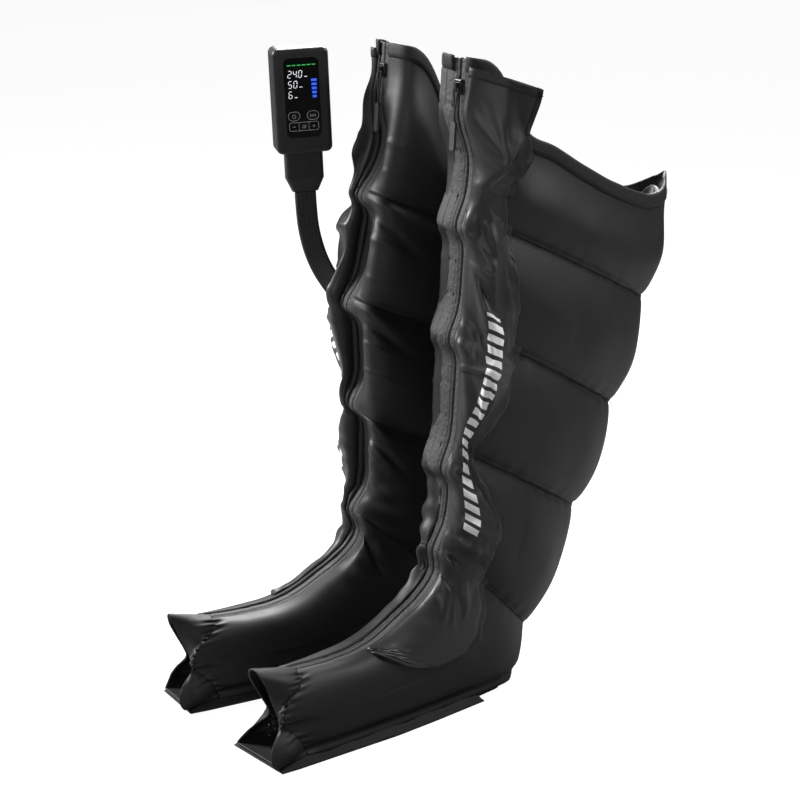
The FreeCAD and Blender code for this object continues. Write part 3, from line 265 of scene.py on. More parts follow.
def maths(operation: str, words: str, flipped: bool = False) -> Callable[..., Value]:
    """Method that adds a Math node.

    Args:
        operation: Operation of the node.
        words: The method's docstring.
        flipped: Whether the other input comes first.

    Returns:
        The method.
    """

    def method(self: Value, *others: Term) -> Value:
        """Math node on this value and the others."""
        inputs = (*others, self) if flipped else (self, *others)
        return self.tree.node("ShaderNodeMath", {"operation": operation}, dict(enumerate(inputs)))

    method.__doc__ = words
    return method


class Value:
    """Socket of a node tree that can be used in Python sums."""

    def __init__(self, tree: Tree, socket: Optional[bpy.types.NodeSocket]) -> None:
        """Wrap one socket of a tree."""
        self.tree = tree
        self.socket = socket

    def other(self, label: str) -> Value:
        """Another output of the same node."""
        return Value(self.tree, self.socket.node.outputs[label])

    __add__ = maths("ADD", "Sum.")
    __radd__ = maths("ADD", "Sum with a number on the left.", True)
    __sub__ = maths("SUBTRACT", "Difference.")
    __rsub__ = maths("SUBTRACT", "Difference with a number on the left.", True)
    __mul__ = maths("MULTIPLY", "Product.")
    __rmul__ = maths("MULTIPLY", "Product with a number on the left.", True)
    sine = maths("SINE", "Sine of an angle in radians.")
    part = maths("FRACT", "Fractional part.")
    size = maths("ABSOLUTE", "Absolute value.")
    above = maths("GREATER_THAN", "1 where the value is above a limit, else 0.")
    below = maths("LESS_THAN", "1 where the value is below a limit, else 0.")

    def clamped(self) -> Value:
        """Value kept between 0 and 1."""
        return self.tree.node("ShaderNodeClamp", {}, {"Value": self})


Term = Union[Value, float]


class Tree:
    """Node tree of a material, the world or a path's copies."""

    def __init__(self, tree: bpy.types.NodeTree) -> None:
        """Empty a tree and hold it."""
        self.tree = tree
        self.tree.nodes.clear()

    @classmethod
    def of(cls, owner: Union[bpy.types.Material, bpy.types.World]) -> Tree:
        """Empty tree of a material or a world."""
        owner.use_nodes = True
        return cls(owner.node_tree)

    def node(self, kind: str, settings: dict[str, Any], inputs: dict[Any, Any], output: int = 0) -> Value:
        """Add a node.

        Args:
            kind: Type of the node.
            settings: Values of the node's own properties, set first.
            inputs: Values, or other Values, by socket name or index.
            output: Index of the output that is returned.

        Returns:
            The node's output as a Value.
        """
        made = self.tree.nodes.new(kind)
        set_all(made, settings)
        for key, value in inputs.items():
            if isinstance(value, Value):
                self.tree.links.new(value.socket, made.inputs[key])
            elif isinstance(value, tuple) and len(value) == 3 and made.inputs[key].type == "RGBA":
                made.inputs[key].default_value = (*value, 1.0)
            else:
                made.inputs[key].default_value = value
        return Value(self, made.outputs[output] if made.outputs else None)

    def unfolded(self) -> tuple[Value, Value]:
        """Places across and along on the piece's own unfolded map."""
        places = self.node("ShaderNodeTexCoord", {}, {}).other("UV")
        return self.axis(places, 0), self.axis(places, 1)

    def solid(self) -> Value:
        """Places in the object, in metres."""
        return self.node("ShaderNodeTexCoord", {}, {}).other("Object")

    def axis(self, places: Value, index: int) -> Value:
        """One coordinate of a place."""
        return self.node("ShaderNodeSeparateXYZ", {}, {"Vector": places}, index)

    def noise(self, places: Value, scale: float, detail: float, roughness: float) -> Value:
        """Cloudy pattern from 0 to 1."""
        inputs = {"Vector": places, "Scale": scale, "Detail": detail, "Roughness": roughness}
        return self.node("ShaderNodeTexNoise", {}, inputs)

    def blend(self, share: Value, low: Union[Value, Colour], high: Union[Value, Colour]) -> Value:
        """Colour between two colours by a share."""
        return self.node("ShaderNodeMix", {"data_type": "RGBA"}, {0: share, 6: low, 7: high}, 2)

    def bump(self, height: Value, strength: float, distance: float, under: Optional[Value] = None) -> Value:
        """Bumped normal.

        Args:
            height: Height of the surface.
            strength: Strength of the bump.
            distance: Height in metres that 1 stands for.
            under: Normal that is bumped; the surface's own if left out.

        Returns:
            The normal.
        """
        inputs: dict[Any, Any] = {"Height": height, "Strength": strength, "Distance": distance}
        if under is not None:
            inputs["Normal"] = under
        return self.node("ShaderNodeBump", {}, inputs)

    def surface(self, inputs: dict[str, Any]) -> None:
        """Finish a material's tree with a Principled shader."""
        shader = self.node("ShaderNodeBsdfPrincipled", {}, inputs)
        self.node("ShaderNodeOutputMaterial", {}, {"Surface": shader})


# Finishes


@dataclass(frozen=True)
class BareFinish:
    """What every finish has.

    Attributes:
        name: Name of the material.
        colour: Main colour.
    """

    name: str
    colour: Colour

    def shade(self, tree: Tree) -> dict[str, Any]:
        """Inputs of the Principled shader, by name."""
        raise NotImplementedError

    def material(self) -> bpy.types.Material:
        """Build the material."""
        made = bpy.data.materials.new(self.name)
        tree = Tree.of(made)
        tree.surface(self.shade(tree))
        return made


@dataclass(frozen=True)
class ClothFinish(BareFinish):
    """Woven cloth on a piece with an unfolded map.

    Attributes:
        pale: Colour of the worn or lifted yarn.
        roughness: Roughness of the cloth.
        pitch: Pitch of the weave in millimetres.
        depth: Strength of the weave's bump.
        crease: Strength of the fine creases' bump.
        crease_scale: How many creases to a metre, roughly.
        specular: Specular level.
        crease_height: Height of the creases in metres.
        yarn_height: Height of the yarn in metres.
    """

    pale: Colour
    roughness: float = 0.6
    pitch: float = 0.9
    depth: float = 0.16
    crease: float = 0.12
    crease_scale: float = 22.0
    specular: float = 0.4
    crease_height: float = 0.004
    yarn_height: float = 0.0003

    @property
    def turns(self) -> float:
        """Turn of the weave in radians to a metre."""
        return math.tau / (self.pitch * MM)

    def weave(self, tree: Tree) -> Value:
        """Height of an over and under weave."""
        across, along = ((place * self.turns).sine() for place in tree.unfolded())
        return across * along * 0.5 + 0.5

    def mark(self, tree: Tree, colour: Value) -> Value:
        """Colour with what is printed on the cloth; plain cloth has nothing."""
        return colour

    def shade(self, tree: Tree) -> dict[str, Any]:
        """Inputs of the Principled shader: clouded colour and gloss, creases and the weave."""
        solid = tree.solid()
        weave = self.weave(tree)
        cloud = tree.noise(solid, 9.0, 4.0, 0.55)
        fine = tree.noise(solid, 260.0, 2.0, 0.6)
        folds = tree.noise(solid, self.crease_scale, 4.0, 0.5)
        # Random clouds and fine noise mottle the colour; the weave's height paints a highlight on its crests.
        paler_share = (cloud * 0.75 + weave * 0.18 + fine * 0.3 - 0.1).clamped()
        creased = tree.bump(folds, self.crease, self.crease_height)
        return {
            "Base Color": self.mark(tree, tree.blend(paler_share, self.colour, self.pale)),
            "Roughness": (cloud - 0.5) * 0.14 + (fine - 0.5) * 0.12 + self.roughness,
            "Normal": tree.bump(weave, self.depth, self.yarn_height, creased),
            "Specular IOR Level": self.specular,
        }


@dataclass(frozen=True)
class StripedFinish(ClothFinish):
    """Coated cloth with a plain broken stripe printed along it.

    Attributes:
        stripe: Colour of the print.
        middle: Place of the stripe across the cloth, as a share of its width.
        width: Width of the stripe as a share of the cloth's width.
        start: Where the stripe starts along the cloth, in metres.
        end: Where it ends, in metres.
        repeat: Pitch of the bars in millimetres.
        inked: Share of the pitch that a bar takes.
    """

    stripe: Colour = (0.95, 0.95, 0.95)
    middle: float = 0.36
    width: float = 0.22
    start: float = 0.295
    end: float = 0.575
    repeat: float = 14.5
    inked: float = 0.62

    def mark(self, tree: Tree, colour: Value) -> Value:
        """Colour with the broken stripe."""
        across, along = tree.unfolded()
        bars = (along * (1.0 / (self.repeat * MM))).part().below(self.inked)
        inside = (across - self.middle).size().below(self.width / 2.0)
        mask = bars * inside * along.above(self.start) * along.below(self.end)
        return tree.blend(mask, colour, self.stripe)


@dataclass(frozen=True)
class RibbedFinish(ClothFinish):
    """Woven tape with a herringbone rib."""

    def weave(self, tree: Tree) -> Value:
        """Height of a herringbone."""
        across, along = tree.unfolded()
        rib = 3.0 * self.pitch * MM
        lean = ((across * (1.0 / rib)).part() - 0.5).size() * rib
        return ((along + lean) * self.turns).sine() * 0.5 + 0.5


@dataclass(frozen=True)
class MouldedFinish(BareFinish):
    """Moulded plastic, rubber or metal with a fine spark grain.

    Attributes:
        pale: Colour of the rubbed places.
        roughness: Roughness.
        grain: Strength of the grain's bump.
        grain_scale: How many grains to a metre, roughly.
        specular: Specular level.
        coat: Weight of a clear coat.
        metallic: 1 for bare metal.
        grain_height: Height of the grain in metres.
    """

    pale: Colour
    roughness: float = 0.42
    grain: float = 0.08
    grain_scale: float = 900.0
    specular: float = 0.45
    coat: float = 0.0
    metallic: float = 0.0
    grain_height: float = 0.0002

    def shade(self, tree: Tree) -> dict[str, Any]:
        """Inputs of the Principled shader: clouded and scuffed colour and gloss, and the grain."""
        solid = tree.solid()
        grain = tree.noise(solid, self.grain_scale, 2.0, 0.6)
        cloud = tree.noise(solid, 24.0, 4.0, 0.55)
        scuff = tree.noise(solid, 140.0, 5.0, 0.7)
        paler_share = (cloud * 0.7 + scuff * 0.4 - 0.15).clamped()
        return {
            "Base Color": tree.blend(paler_share, self.colour, self.pale),
            "Roughness": (cloud - 0.5) * 0.1 + (scuff - 0.5) * 0.12 + self.roughness,
            "Normal": tree.bump(grain, self.grain, self.grain_height),
            "Specular IOR Level": self.specular,
            "Coat Weight": self.coat,
            "Coat Roughness": 0.05,
            "Metallic": self.metallic,
        }


@dataclass(frozen=True)
class LampFinish(BareFinish):
    """Lit mark of the display.

    Attributes:
        strength: Brightness.
        dim: Share of the light in the darker places.
    """

    strength: float = 1.0
    dim: float = 0.72

    def shade(self, tree: Tree) -> dict[str, Any]:
        """Inputs of the Principled shader: light, a little uneven as a lit segment is."""
        glow = tree.noise(tree.solid(), 420.0, 2.0, 0.5)
        lit = tree.blend(glow, tuple(self.dim * part for part in self.colour), self.colour)
        return {"Base Color": lit, "Roughness": 0.4, "Emission Color": lit, "Emission Strength": self.strength}


class Finish(Enum):
    """Every finish of the object."""

    PAD = ClothFinish("pad cloth", (0.0085, 0.0085, 0.009), (0.015, 0.015, 0.0158), 0.53, 0.7, 0.1, 0.1, 14.0, 0.5)
    BINDING = ClothFinish(
        "binding cloth", (0.010, 0.010, 0.0105), (0.019, 0.019, 0.020), 0.6, 1.1, 0.25, 0.14, 30.0, 0.4)
    SOLE = ClothFinish("sole cloth", (0.009, 0.009, 0.0095), (0.017, 0.017, 0.018), 0.66, 1.2, 0.3, 0.14, 26.0, 0.35)
    TOE = ClothFinish("toe cloth", (0.011, 0.011, 0.0115), (0.020, 0.020, 0.021), 0.55, 0.9, 0.16, 0.16, 34.0, 0.42)
    GUSSET = StripedFinish(
        "gusset cloth", (0.021, 0.021, 0.0217), (0.036, 0.036, 0.0372), 0.42, 0.6, 0.07, 0.12, 40.0, 0.5)
    HEM = ClothFinish("hem cloth", (0.013, 0.013, 0.0135), (0.023, 0.023, 0.024), 0.5, 0.8, 0.16, 0.1, 40.0, 0.45)
    TAPE = RibbedFinish("zip tape", (0.034, 0.034, 0.0355), (0.085, 0.085, 0.088), 0.6, 1.3, 0.5, 0.5, 170.0, 0.4)
    THREAD = MouldedFinish("thread", (0.018, 0.018, 0.019), (0.034, 0.034, 0.036), 0.5, 0.2, 2200.0)
    CORD = MouldedFinish("pull braid", (0.016, 0.016, 0.017), (0.030, 0.030, 0.031), 0.6, 0.5, 1500.0)
    COIL = MouldedFinish("zip coil", (0.010, 0.010, 0.011), (0.020, 0.020, 0.021), 0.36, 0.06, 1200.0)
    SLIDER = MouldedFinish(
        "slider lacquer", (0.014, 0.014, 0.015), (0.040, 0.040, 0.042), 0.28, 0.04, 700.0, 0.55, 0.25)
    TAB = MouldedFinish("tab rubber", (0.045, 0.045, 0.047), (0.085, 0.085, 0.088), 0.5, 0.1, 1100.0)
    CASE = MouldedFinish("case plastic", (0.017, 0.0175, 0.019), (0.027, 0.0275, 0.030), 0.42, 0.07, 1300.0, 0.45)
    WINDOW = MouldedFinish("window panel", (0.0032, 0.0032, 0.0036), (0.0046, 0.0046, 0.005), 0.1, 0.0, 300.0, 0.5, 0.3)
    KEY = MouldedFinish("key cap", (0.0042, 0.0042, 0.0046), (0.006, 0.006, 0.0064), 0.16, 0.0, 500.0, 0.5, 0.1)
    PLUG = MouldedFinish("plug plastic", (0.014, 0.014, 0.0148), (0.024, 0.024, 0.025), 0.45, 0.09, 1000.0)
    HOSE = MouldedFinish("hose rubber", (0.012, 0.012, 0.0126), (0.020, 0.020, 0.021), 0.42, 0.07, 800.0, 0.5)
    INNER = MouldedFinish("inner plastic", (0.55, 0.55, 0.53), (0.70, 0.70, 0.68), 0.5, 0.06, 900.0)
    BOARD = MouldedFinish("board lacquer", (0.010, 0.075, 0.035), (0.02, 0.12, 0.06), 0.35, 0.1, 700.0)
    CELL = MouldedFinish("cell wrap", (0.06, 0.11, 0.24), (0.10, 0.17, 0.33), 0.35, 0.04, 500.0)
    STEEL = MouldedFinish("brushed steel", (0.42, 0.42, 0.43), (0.62, 0.62, 0.63), 0.32, 0.1, 1600.0, 0.5, 0.0, 1.0)
    TUBE = MouldedFinish("clear tube", (0.45, 0.47, 0.48), (0.60, 0.62, 0.63), 0.25, 0.02, 500.0)
    PRINT = MouldedFinish("white print", (0.50, 0.51, 0.52), (0.62, 0.63, 0.64), 0.5, 0.04, 900.0)
    GREEN = LampFinish("green lamps", (0.02, 0.62, 0.10), 0.9)
    WHITE = LampFinish("white lamps", (0.80, 0.84, 0.88), 0.9)
    BLUE = LampFinish("blue lamps", (0.02, 0.10, 0.90), 1.3)

    @cached_property
    def material(self) -> bpy.types.Material:
        """The material, built once."""
        return self.value.material()


# Meshes


def grid_faces(rows: int, columns: int, first: int = 0, closed: bool = False) -> list[Face]:
    """Quads of a grid of points, row after row.

    Args:
        rows: Number of rows.
        columns: Number of columns.
        first: Index of the first point.
        closed: Whether the last column joins the first.

    Returns:
        The faces.
    """
    faces = []
    for row in range(rows - 1):
        for column in range(columns if closed else columns - 1):
            a = first + row * columns + column
            b = first + row * columns + (column + 1) % columns
            faces.append((a, b, b + columns, a + columns))
    return faces


def tube_faces(rows: int, columns: int) -> list[Face]:
    """Quads of a grid closed round, with a face over each end."""
    last = (rows - 1) * columns
    return grid_faces(rows, columns, 0, True) + [tuple(range(columns)), tuple(range(last, last + columns))]


def strip_faces(one: Sequence[int], other: Sequence[int]) -> list[Face]:
    """Quads between two rows of point indices."""
    return [(a, b, d, c) for a, b, c, d in zip(one, one[1:], other, other[1:])]


def mesh_object(
    name: str,
    points: Array,
    faces: Sequence[Face],
    unfolded: Optional[Array] = None,
    outward: bool = True,
) -> bpy.types.Object:
    """Object of a mesh, smooth, with its normals outward.

    Args:
        name: Name of the object.
        points: Places of the points in metres, shape (n, 3).
        faces: Point indices of each face.
        unfolded: Place of each point on the unfolded cloth in metres, shape (n, 2).
        outward: Whether the normals are made to point outward.

    Returns:
        The object, in the scene.
    """
    mesh = bpy.data.meshes.new(name)
    mesh.from_pydata(np.asarray(points, float).tolist(), [], [tuple(f) for f in faces])
    if unfolded is not None:
        layer = mesh.uv_layers.new(name="unfolded")
        index = np.zeros(len(mesh.loops), np.int32)
        mesh.loops.foreach_get("vertex_index", index)
        layer.data.foreach_set("uv", np.asarray(unfolded, np.float32)[index].ravel())
    mesh.validate()
    made = placed(name, mesh)
    if outward:
        turn_outward(mesh)
    shade_faces(mesh, True)
    mesh.update()
    return made


def turn_outward(mesh: bpy.types.Mesh) -> None:
    """Make a closed mesh's faces point outward."""
    work = bmesh.new()
    work.from_mesh(mesh)
    bmesh.ops.recalc_face_normals(work, faces=work.faces[:])
    work.to_mesh(mesh)
    work.free()


def shade_faces(mesh: bpy.types.Mesh, smooth: bool) -> None:
    """Shade all faces of a mesh smooth or flat."""
    mesh.polygons.foreach_set("use_smooth", np.full(len(mesh.polygons), smooth))


def paint(node: bpy.types.Object, finish: Finish) -> None:
    """Give a packed node a finish."""
    node.data.materials.clear()
    node.data.materials.append(finish.material)


def dress(
    made: bpy.types.Object,
    finish: Finish,
    body: str,
    replaced: Sequence[str] = (),
) -> bpy.types.Object:
    """Give a piece its finish and its place in the frame.

    Args:
        made: The piece.
        finish: Its finish.
        body: Name of the body that it rides on.
        slot: Slot of the record that its finish belongs to.
        replaced: Packed nodes that it stands for.

    Returns:
        The piece.
    """
    if not made.data.materials:
        made.data.materials.append(finish.material)
    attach(made, body)
    if replaced:
        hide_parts(*replaced)
    LOG.info("%s: %d faces on %s", made.name, len(made.data.polygons), body)
    return made


def joined(name: str, parts: Sequence[Part]) -> bpy.types.Object:
    """One flat-shaded object of several closed point and face sets.

    Args:
        name: Name of the object.
        parts: Points in metres and faces of each set.

    Returns:
        The object.
    """
    faces: list[Face] = []
    count = 0
    for points, some_faces in parts:
        faces += [tuple(index + count for index in face) for face in some_faces]
        count += len(points)
    made = mesh_object(name, np.concatenate([points for points, _ in parts]), faces)
    shade_faces(made.data, False)
    return made


# The sleeve's form


class Side(Enum):
    """The two sleeves, by the sign of their place across."""

    LEFT = 1
    RIGHT = -1

    def named(self, word: str) -> str:
        """Name of one of this sleeve's pieces or nodes."""
        return f"{self.name.lower()}_{word}"


class Chamber(Enum):
    """Padded chambers of a sleeve from the top, by index."""

    THIGH = 0
    KNEE = 1
    CALF = 2
    ANKLE = 3
    FOOT = 4


# Places down a sleeve run from 0 at the top, by one for each chamber.
FOOT_AT = float(Chamber.FOOT.value)
TOE_AT = float(len(Chamber))
BOW_STEPS = 100


def chamber_index(places: Array) -> Array:
    """Index of the chamber at places down a sleeve."""
    return np.clip(places.astype(int), 0, Chamber.FOOT.value)


@dataclass(frozen=True)
class Stance:
    """How the sleeves stand in the frame of the packed solids.

    Attributes:
        heel_spacing: Distance of the two sleeves at the heels in millimetres.
        toe_out_deg: How far each sleeve is turned outward.
        shift: Move from the middle of the heels to the frame in millimetres.
    """

    heel_spacing: float = 150.0
    toe_out_deg: float = 4.3
    shift: Point = (27.004, 13.802, 0.0)

    def row(self, places: Array, side: Side) -> Array:
        """Places of a sleeve in the frame of the packed solids.

        Args:
            places: Places in the sleeve's frame in millimetres, shape (..., 3).
            side: Which sleeve.

        Returns:
            Places in metres, same shape.
        """
        turn = math.radians(self.toe_out_deg)
        places = np.asarray(places, float)
        u, v, z = places[..., 0], places[..., 1], places[..., 2]
        x = u * math.cos(turn) - v * math.sin(turn) + self.heel_spacing / 2.0
        y = u * math.sin(turn) + v * math.cos(turn)
        return (np.stack([x * side.value, y, z], axis=-1) + np.array(self.shift)) * MM

    def sleeve(self, places: Array, side: Side) -> Array:
        """Places of the frame of the packed solids in a sleeve's own frame.

        Args:
            places: Places in metres, shape (..., 3).
            side: Which sleeve.

        Returns:
            Places in the sleeve's frame in millimetres, same shape.
        """
        turn = math.radians(self.toe_out_deg)
        x, y, z = np.moveaxis(places / MM - np.array(self.shift), -1, 0)
        x = x * side.value - self.heel_spacing / 2.0
        u = x * math.cos(turn) + y * math.sin(turn)
        v = y * math.cos(turn) - x * math.sin(turn)
        return np.stack([u, v, z], axis=-1)


STANCE = Stance()


@dataclass(frozen=True)
class Ring:
    """Section of the sleeve: its front and rear in the mid-plane, its half widths and how round it is."""

    front: Array
    rear: Array
    half: float
    tail: float
    sag: float
    belly: float
    wide: float
    dome: float = 0.0


@dataclass(frozen=True)
class SleeveForm:
    """Outline of a sleeve in millimetres, with its seams."""

    # Front and rear lines in the mid-plane, as back and up.
    top: Span = (-32.0, 820.0)
    instep: Span = (-83.8, 104.5)
    instep_radius: float = 150.0
    toe_seam: Span = (-308.0, 103.5)
    rear_top: Span = (336.0, 631.0)
    heel_top: Span = (80.0, 54.0)
    heel_bottom_v: float = 26.0
    heel_stretch: float = 1.03
    rear_bow: float = 26.0
    heel_bow: float = 10.0
    # Seams as shares of those lines, and sections of the foot as shares of its own.
    front_seams: tuple[float, ...] = (0.0, 0.209, 0.363, 0.538, 0.695)
    rear_seams: tuple[float, ...] = (0.0, 0.265, 0.495, 0.725, 1.0)
    foot_front: tuple[float, ...] = (0.0, 0.08, 0.2, 0.34, 0.5, 0.66, 0.8, 0.91, 1.0)
    foot_bottom: tuple[float, ...] = (0.0, 0.1, 0.21, 0.36, 0.53, 0.7, 0.83, 0.93, 1.0)
    # Half widths; then half width and bow of the rear, and the widest place as a share of the depth.
    leg_half: float = 58.0
    leg_widths: tuple[float, ...] = (0.96, 1.0, 1.0, 0.97, 0.92)
    foot_half: float = 53.0
    toe_half: float = 45.0
    leg_rear: Point = (27.0, 20.0, 0.42)
    foot_rear: Point = (43.0, 6.0, 0.58)
    # How far the seams draw the skin in, and where the leg's form gives way to the foot's.
    draw: float = 12.0
    foot_draw: float = 8.0
    rear_draw: float = 8.0
    heel_share: float = 0.2
    dome_span: Span = (0.08, 0.3)
    # Flat front beside the zip: half its width and how far its edge lies back.
    face: float = 23.0
    foot_face: float = 14.0
    face_depth: float = 0.6
    wide_depth: float = 0.3
    floor: float = 4.3
    # Gap for the zip: half its width, its depth and its points.
    lead_half: float = 11.0
    lead_depth: float = -1.2
    lead_count: int = 5
    # How much wider the flat front is on the inner side, and the start and run of its end.
    placket: float = 20.0
    placket_end: Span = (500.0, 120.0)
    # Points of a section, how often it is smoothed and rows of the table for each chamber.
    flank_count: int = 60
    roll_counts: tuple[int, int] = (40, 16)
    tail_count: int = 23
    soften: int = 5
    table_rows: int = 60

    @cached_property
    def shin_way(self) -> Array:
        """Unit vector down the shin."""
        way = np.subtract(self.instep, self.top)
        return way / np.linalg.norm(way)

    @cached_property
    def foot_way(self) -> Array:
        """Unit vector from the instep to the toe."""
        way = np.subtract(self.toe_seam, self.instep)
        return way / np.linalg.norm(way)

    @cached_property
    def runs(self) -> Point:
        """Lengths of the straight shin, the instep's arc and the straight foot."""
        turn = math.acos(float(np.dot(self.shin_way, self.foot_way)))
        tangent = self.instep_radius * math.tan(turn / 2.0)
        shin = np.linalg.norm(np.subtract(self.instep, self.top)) - tangent
        foot = np.linalg.norm(np.subtract(self.toe_seam, self.instep)) - tangent
        return float(shin), self.instep_radius * turn, float(foot)

    @property
    def front_length(self) -> float:
        """Length of the front line."""
        return sum(self.runs)

    @staticmethod
    def inward(way: Array) -> Array:
        """Way into the sleeve, square to a way down the front line."""
        return np.array([-way[1], way[0]])

    def front(self, distance: float) -> tuple[Array, Array]:
        """Place in the mid-plane at a distance down the front line, and the way down there."""
        shin, arc, _ = self.runs
        if distance <= shin:
            return np.array(self.top) + self.shin_way * distance, self.shin_way
        end = np.array(self.top) + self.shin_way * shin
        centre = end - self.inward(self.shin_way) * self.instep_radius
        angle = min(distance - shin, arc) / self.instep_radius
        spoke = self.inward(self.shin_way) * math.cos(angle) + self.shin_way * math.sin(angle)
        way = self.shin_way * math.cos(angle) - self.inward(self.shin_way) * math.sin(angle)
        return centre + spoke * self.instep_radius + way * max(0.0, distance - shin - arc), way

    def _bowed(self, start: Sequence[float], end: Sequence[float], bow: float, share: float) -> Array:
        """Place on a bowed line in the mid-plane.

        Args:
            start: Start of the line.
            end: End of the line.
            bow: How far its middle lies inward of its chord.
            share: Share of the way along it.

        Returns:
            The place.
        """
        start, end = np.array(start), np.array(end)
        way = (end - start) / np.linalg.norm(end - start)
        middle = (start + end) / 2.0 + self.inward(way) * bow
        line = arc_points(start, middle, end, BOW_STEPS + 1)
        return np.array([np.interp(share * BOW_STEPS, np.arange(BOW_STEPS + 1), column) for column in line.T])

    def bottom(self, share: float) -> Array:
        """Place in the mid-plane at a share of the way round the heel and along the sole."""
        heel_end = (self.heel_bottom_v, 0.0)
        heel = np.linalg.norm(np.subtract(self.heel_top, heel_end)) * self.heel_stretch
        line = self.heel_bottom_v - self.toe_seam[0]
        distance = share * (heel + line)
        if distance <= heel:
            return self._bowed(self.heel_top, heel_end, self.heel_bow, distance / heel)
        return np.array([self.heel_bottom_v - (distance - heel), 0.0])

    def front_share(self, place: float) -> float:
        """Share of the front line's length at a place down the sleeve."""
        if place <= FOOT_AT:
            return float(np.interp(place, range(len(self.front_seams)), self.front_seams))
        index = np.linspace(FOOT_AT, TOE_AT, len(self.foot_front))
        return float(lerp(self.front_seams[-1], 1.0, np.interp(place, index, self.foot_front)))

    def ring(self, place: float) -> Ring:
        """Drawn-in section at a place down the sleeve, before it is puffed."""
        distance = self.front_share(place) * self.front_length
        front, _ = self.front(distance)
        wide = float(self.wide(distance))
        if place <= FOOT_AT:
            share = float(np.interp(place, range(len(self.rear_seams)), self.rear_seams))
            rear = self._bowed(self.rear_top, self.heel_top, self.rear_bow, share)
            rear = rear - (rear - front) / np.linalg.norm(rear - front) * self.rear_draw
            half = self.leg_half * float(np.interp(place, range(len(self.leg_widths)), self.leg_widths)) - self.draw
            return Ring(front, rear, half, *self.leg_rear, wide)
        index = np.linspace(FOOT_AT, TOE_AT, len(self.foot_bottom))
        share = float(np.interp(place, index, self.foot_bottom))
        rear = self.bottom(share)
        near = float(1.0 - ease(share / self.heel_share))
        rear = rear - (rear - front) / np.linalg.norm(rear - front) * self.rear_draw * near
        ankle = self.leg_half * self.leg_widths[-1] - self.draw
        half = lerp(lerp(self.foot_half, self.toe_half, share) - self.foot_draw, ankle, near)
        heel = min(1.0, share / self.foot_bottom[2])
        rears = (lerp(leg, foot, heel) for leg, foot in zip(self.leg_rear, self.foot_rear))
        return Ring(front, rear, half, *rears, wide, float(rise(share, *self.dome_span)))

    def wide(self, distance: Any) -> Any:
        """How much further the flat front reaches on the inner side, at a distance down the front line."""
        return self.placket * (1.0 - rise(distance, *self.placket_end))

    def outline(self, ring: Ring) -> Array:
        """Open outline of a section, along its chord and out, from the zip round the rear to the zip."""
        depth = float(np.linalg.norm(ring.rear - ring.front))
        corner = (depth - ring.sag, ring.tail)
        halves = []
        for wide in (0.0, ring.wide):
            face = lerp(self.face, self.foot_face, ring.dome) + wide
            edge = (self.face_depth + self.wide_depth * wide, face)
            flank = arc_points(edge, (depth * ring.belly, ring.half), corner, self.flank_count)
            flank = lerp(flank, self._round_flank(face, depth / 2.0, ring.half, corner), ring.dome)
            lead = np.linspace((self.lead_depth, self.lead_half), edge, self.lead_count + 1)[:-1]
            halves.append(np.concatenate([lead, flank]))
        tail = arc_points(corner, (depth, 0.0), (corner[0], -corner[1]), self.tail_count)
        line = np.concatenate([halves[0], tail[1:-1], (halves[1] * np.array([1.0, -1.0]))[::-1]])
        return smoothed(line, self.soften)

    def _round_flank(self, face: float, crest: float, half: float, corner: Span) -> Array:
        """Flank that rolls over evenly from the zip to its widest place and then goes straight down.

        Args:
            face: Half the width of the flat front.
            crest: Where the section is widest, along its chord.
            half: Half its width there.
            corner: Where the flank ends.

        Returns:
            Places along the chord and out, shape (flank_count, 2).
        """
        upper, lower = self.roll_counts
        turn = np.linspace(0.0, math.pi / 2.0, upper)
        low = np.linspace(0.0, 1.0, lower)[1:]
        along = self.face_depth + (crest - self.face_depth) * (1.0 - np.cos(turn))
        roll = np.stack([along, lerp(face, half, np.sin(turn))], axis=1)
        straight = np.stack([lerp(crest, corner[0], low), lerp(half, corner[1], low * low)], axis=1)
        return spread(np.concatenate([roll, straight]), np.linspace(0.0, 1.0, self.flank_count))

    @cached_property
    def columns(self) -> int:
        """Number of points round a section."""
        return 2 * (self.lead_count + self.flank_count) + self.tail_count - 2

    @cached_property
    def places(self) -> Array:
        """Places down the sleeve of the table's rows."""
        return np.linspace(0.0, TOE_AT, len(Chamber) * self.table_rows + 1)

    @cached_property
    def table(self) -> tuple[Array, Array, Array]:
        """Dense table of the drawn-in skin: places, normals and the distance round from the zip's flat front."""
        points = np.zeros((len(self.places), self.columns, 3))
        normals = np.zeros_like(points)
        round_zip = np.zeros(points.shape[:2])
        for row, place in enumerate(self.places):
            ring = self.ring(float(place))
            line = self.outline(ring)
            way = (ring.rear - ring.front) / np.linalg.norm(ring.rear - ring.front)
            tangent = unit(np.gradient(line, axis=0))
            points[row, :, 0] = line[:, 1]
            points[row, :, 1:] = ring.front + line[:, :1] * way
            normals[row, :, 0] = tangent[:, 0]
            normals[row, :, 1:] = -tangent[:, 1:] * way
            length = run_along(line)
            round_zip[row] = np.minimum(length, length[-1] - length)
            round_zip[row, self.columns // 2 + 1:] -= ring.wide
        return points, normals, round_zip

    def look_up(self, table: Array, places: Array) -> Array:
        """Rows of a table at places down the sleeve, one place for each point.

        Args:
            table: Table of shape (rows, columns) or (rows, columns, 3).
            places: Places of shape (n, columns).

        Returns:
            Values of shape (n, columns) or (n, columns, 3).
        """
        row = places * self.table_rows
        low = np.clip(np.floor(row).astype(int), 0, len(table) - 2)
        share = row - low
        column = np.broadcast_to(np.arange(self.columns), places.shape)
        if table.ndim == 3:
            share = share[..., None]
        return table[low, column] * (1.0 - share) + table[low + 1, column] * share

    def normals(self, places: Array) -> Array:
        """Unit normals at places down the sleeve, one place for each point."""
        return unit(self.look_up(self.table[1], places))

    @cached_property
    def lengths(self) -> Array:
        """Length of each chamber down each column, shape (chambers, columns)."""
        steps = np.linalg.norm(np.diff(self.table[0], axis=0), axis=2)
        return steps.reshape(len(Chamber), self.table_rows, self.columns).sum(axis=1)


FORM = SleeveForm()


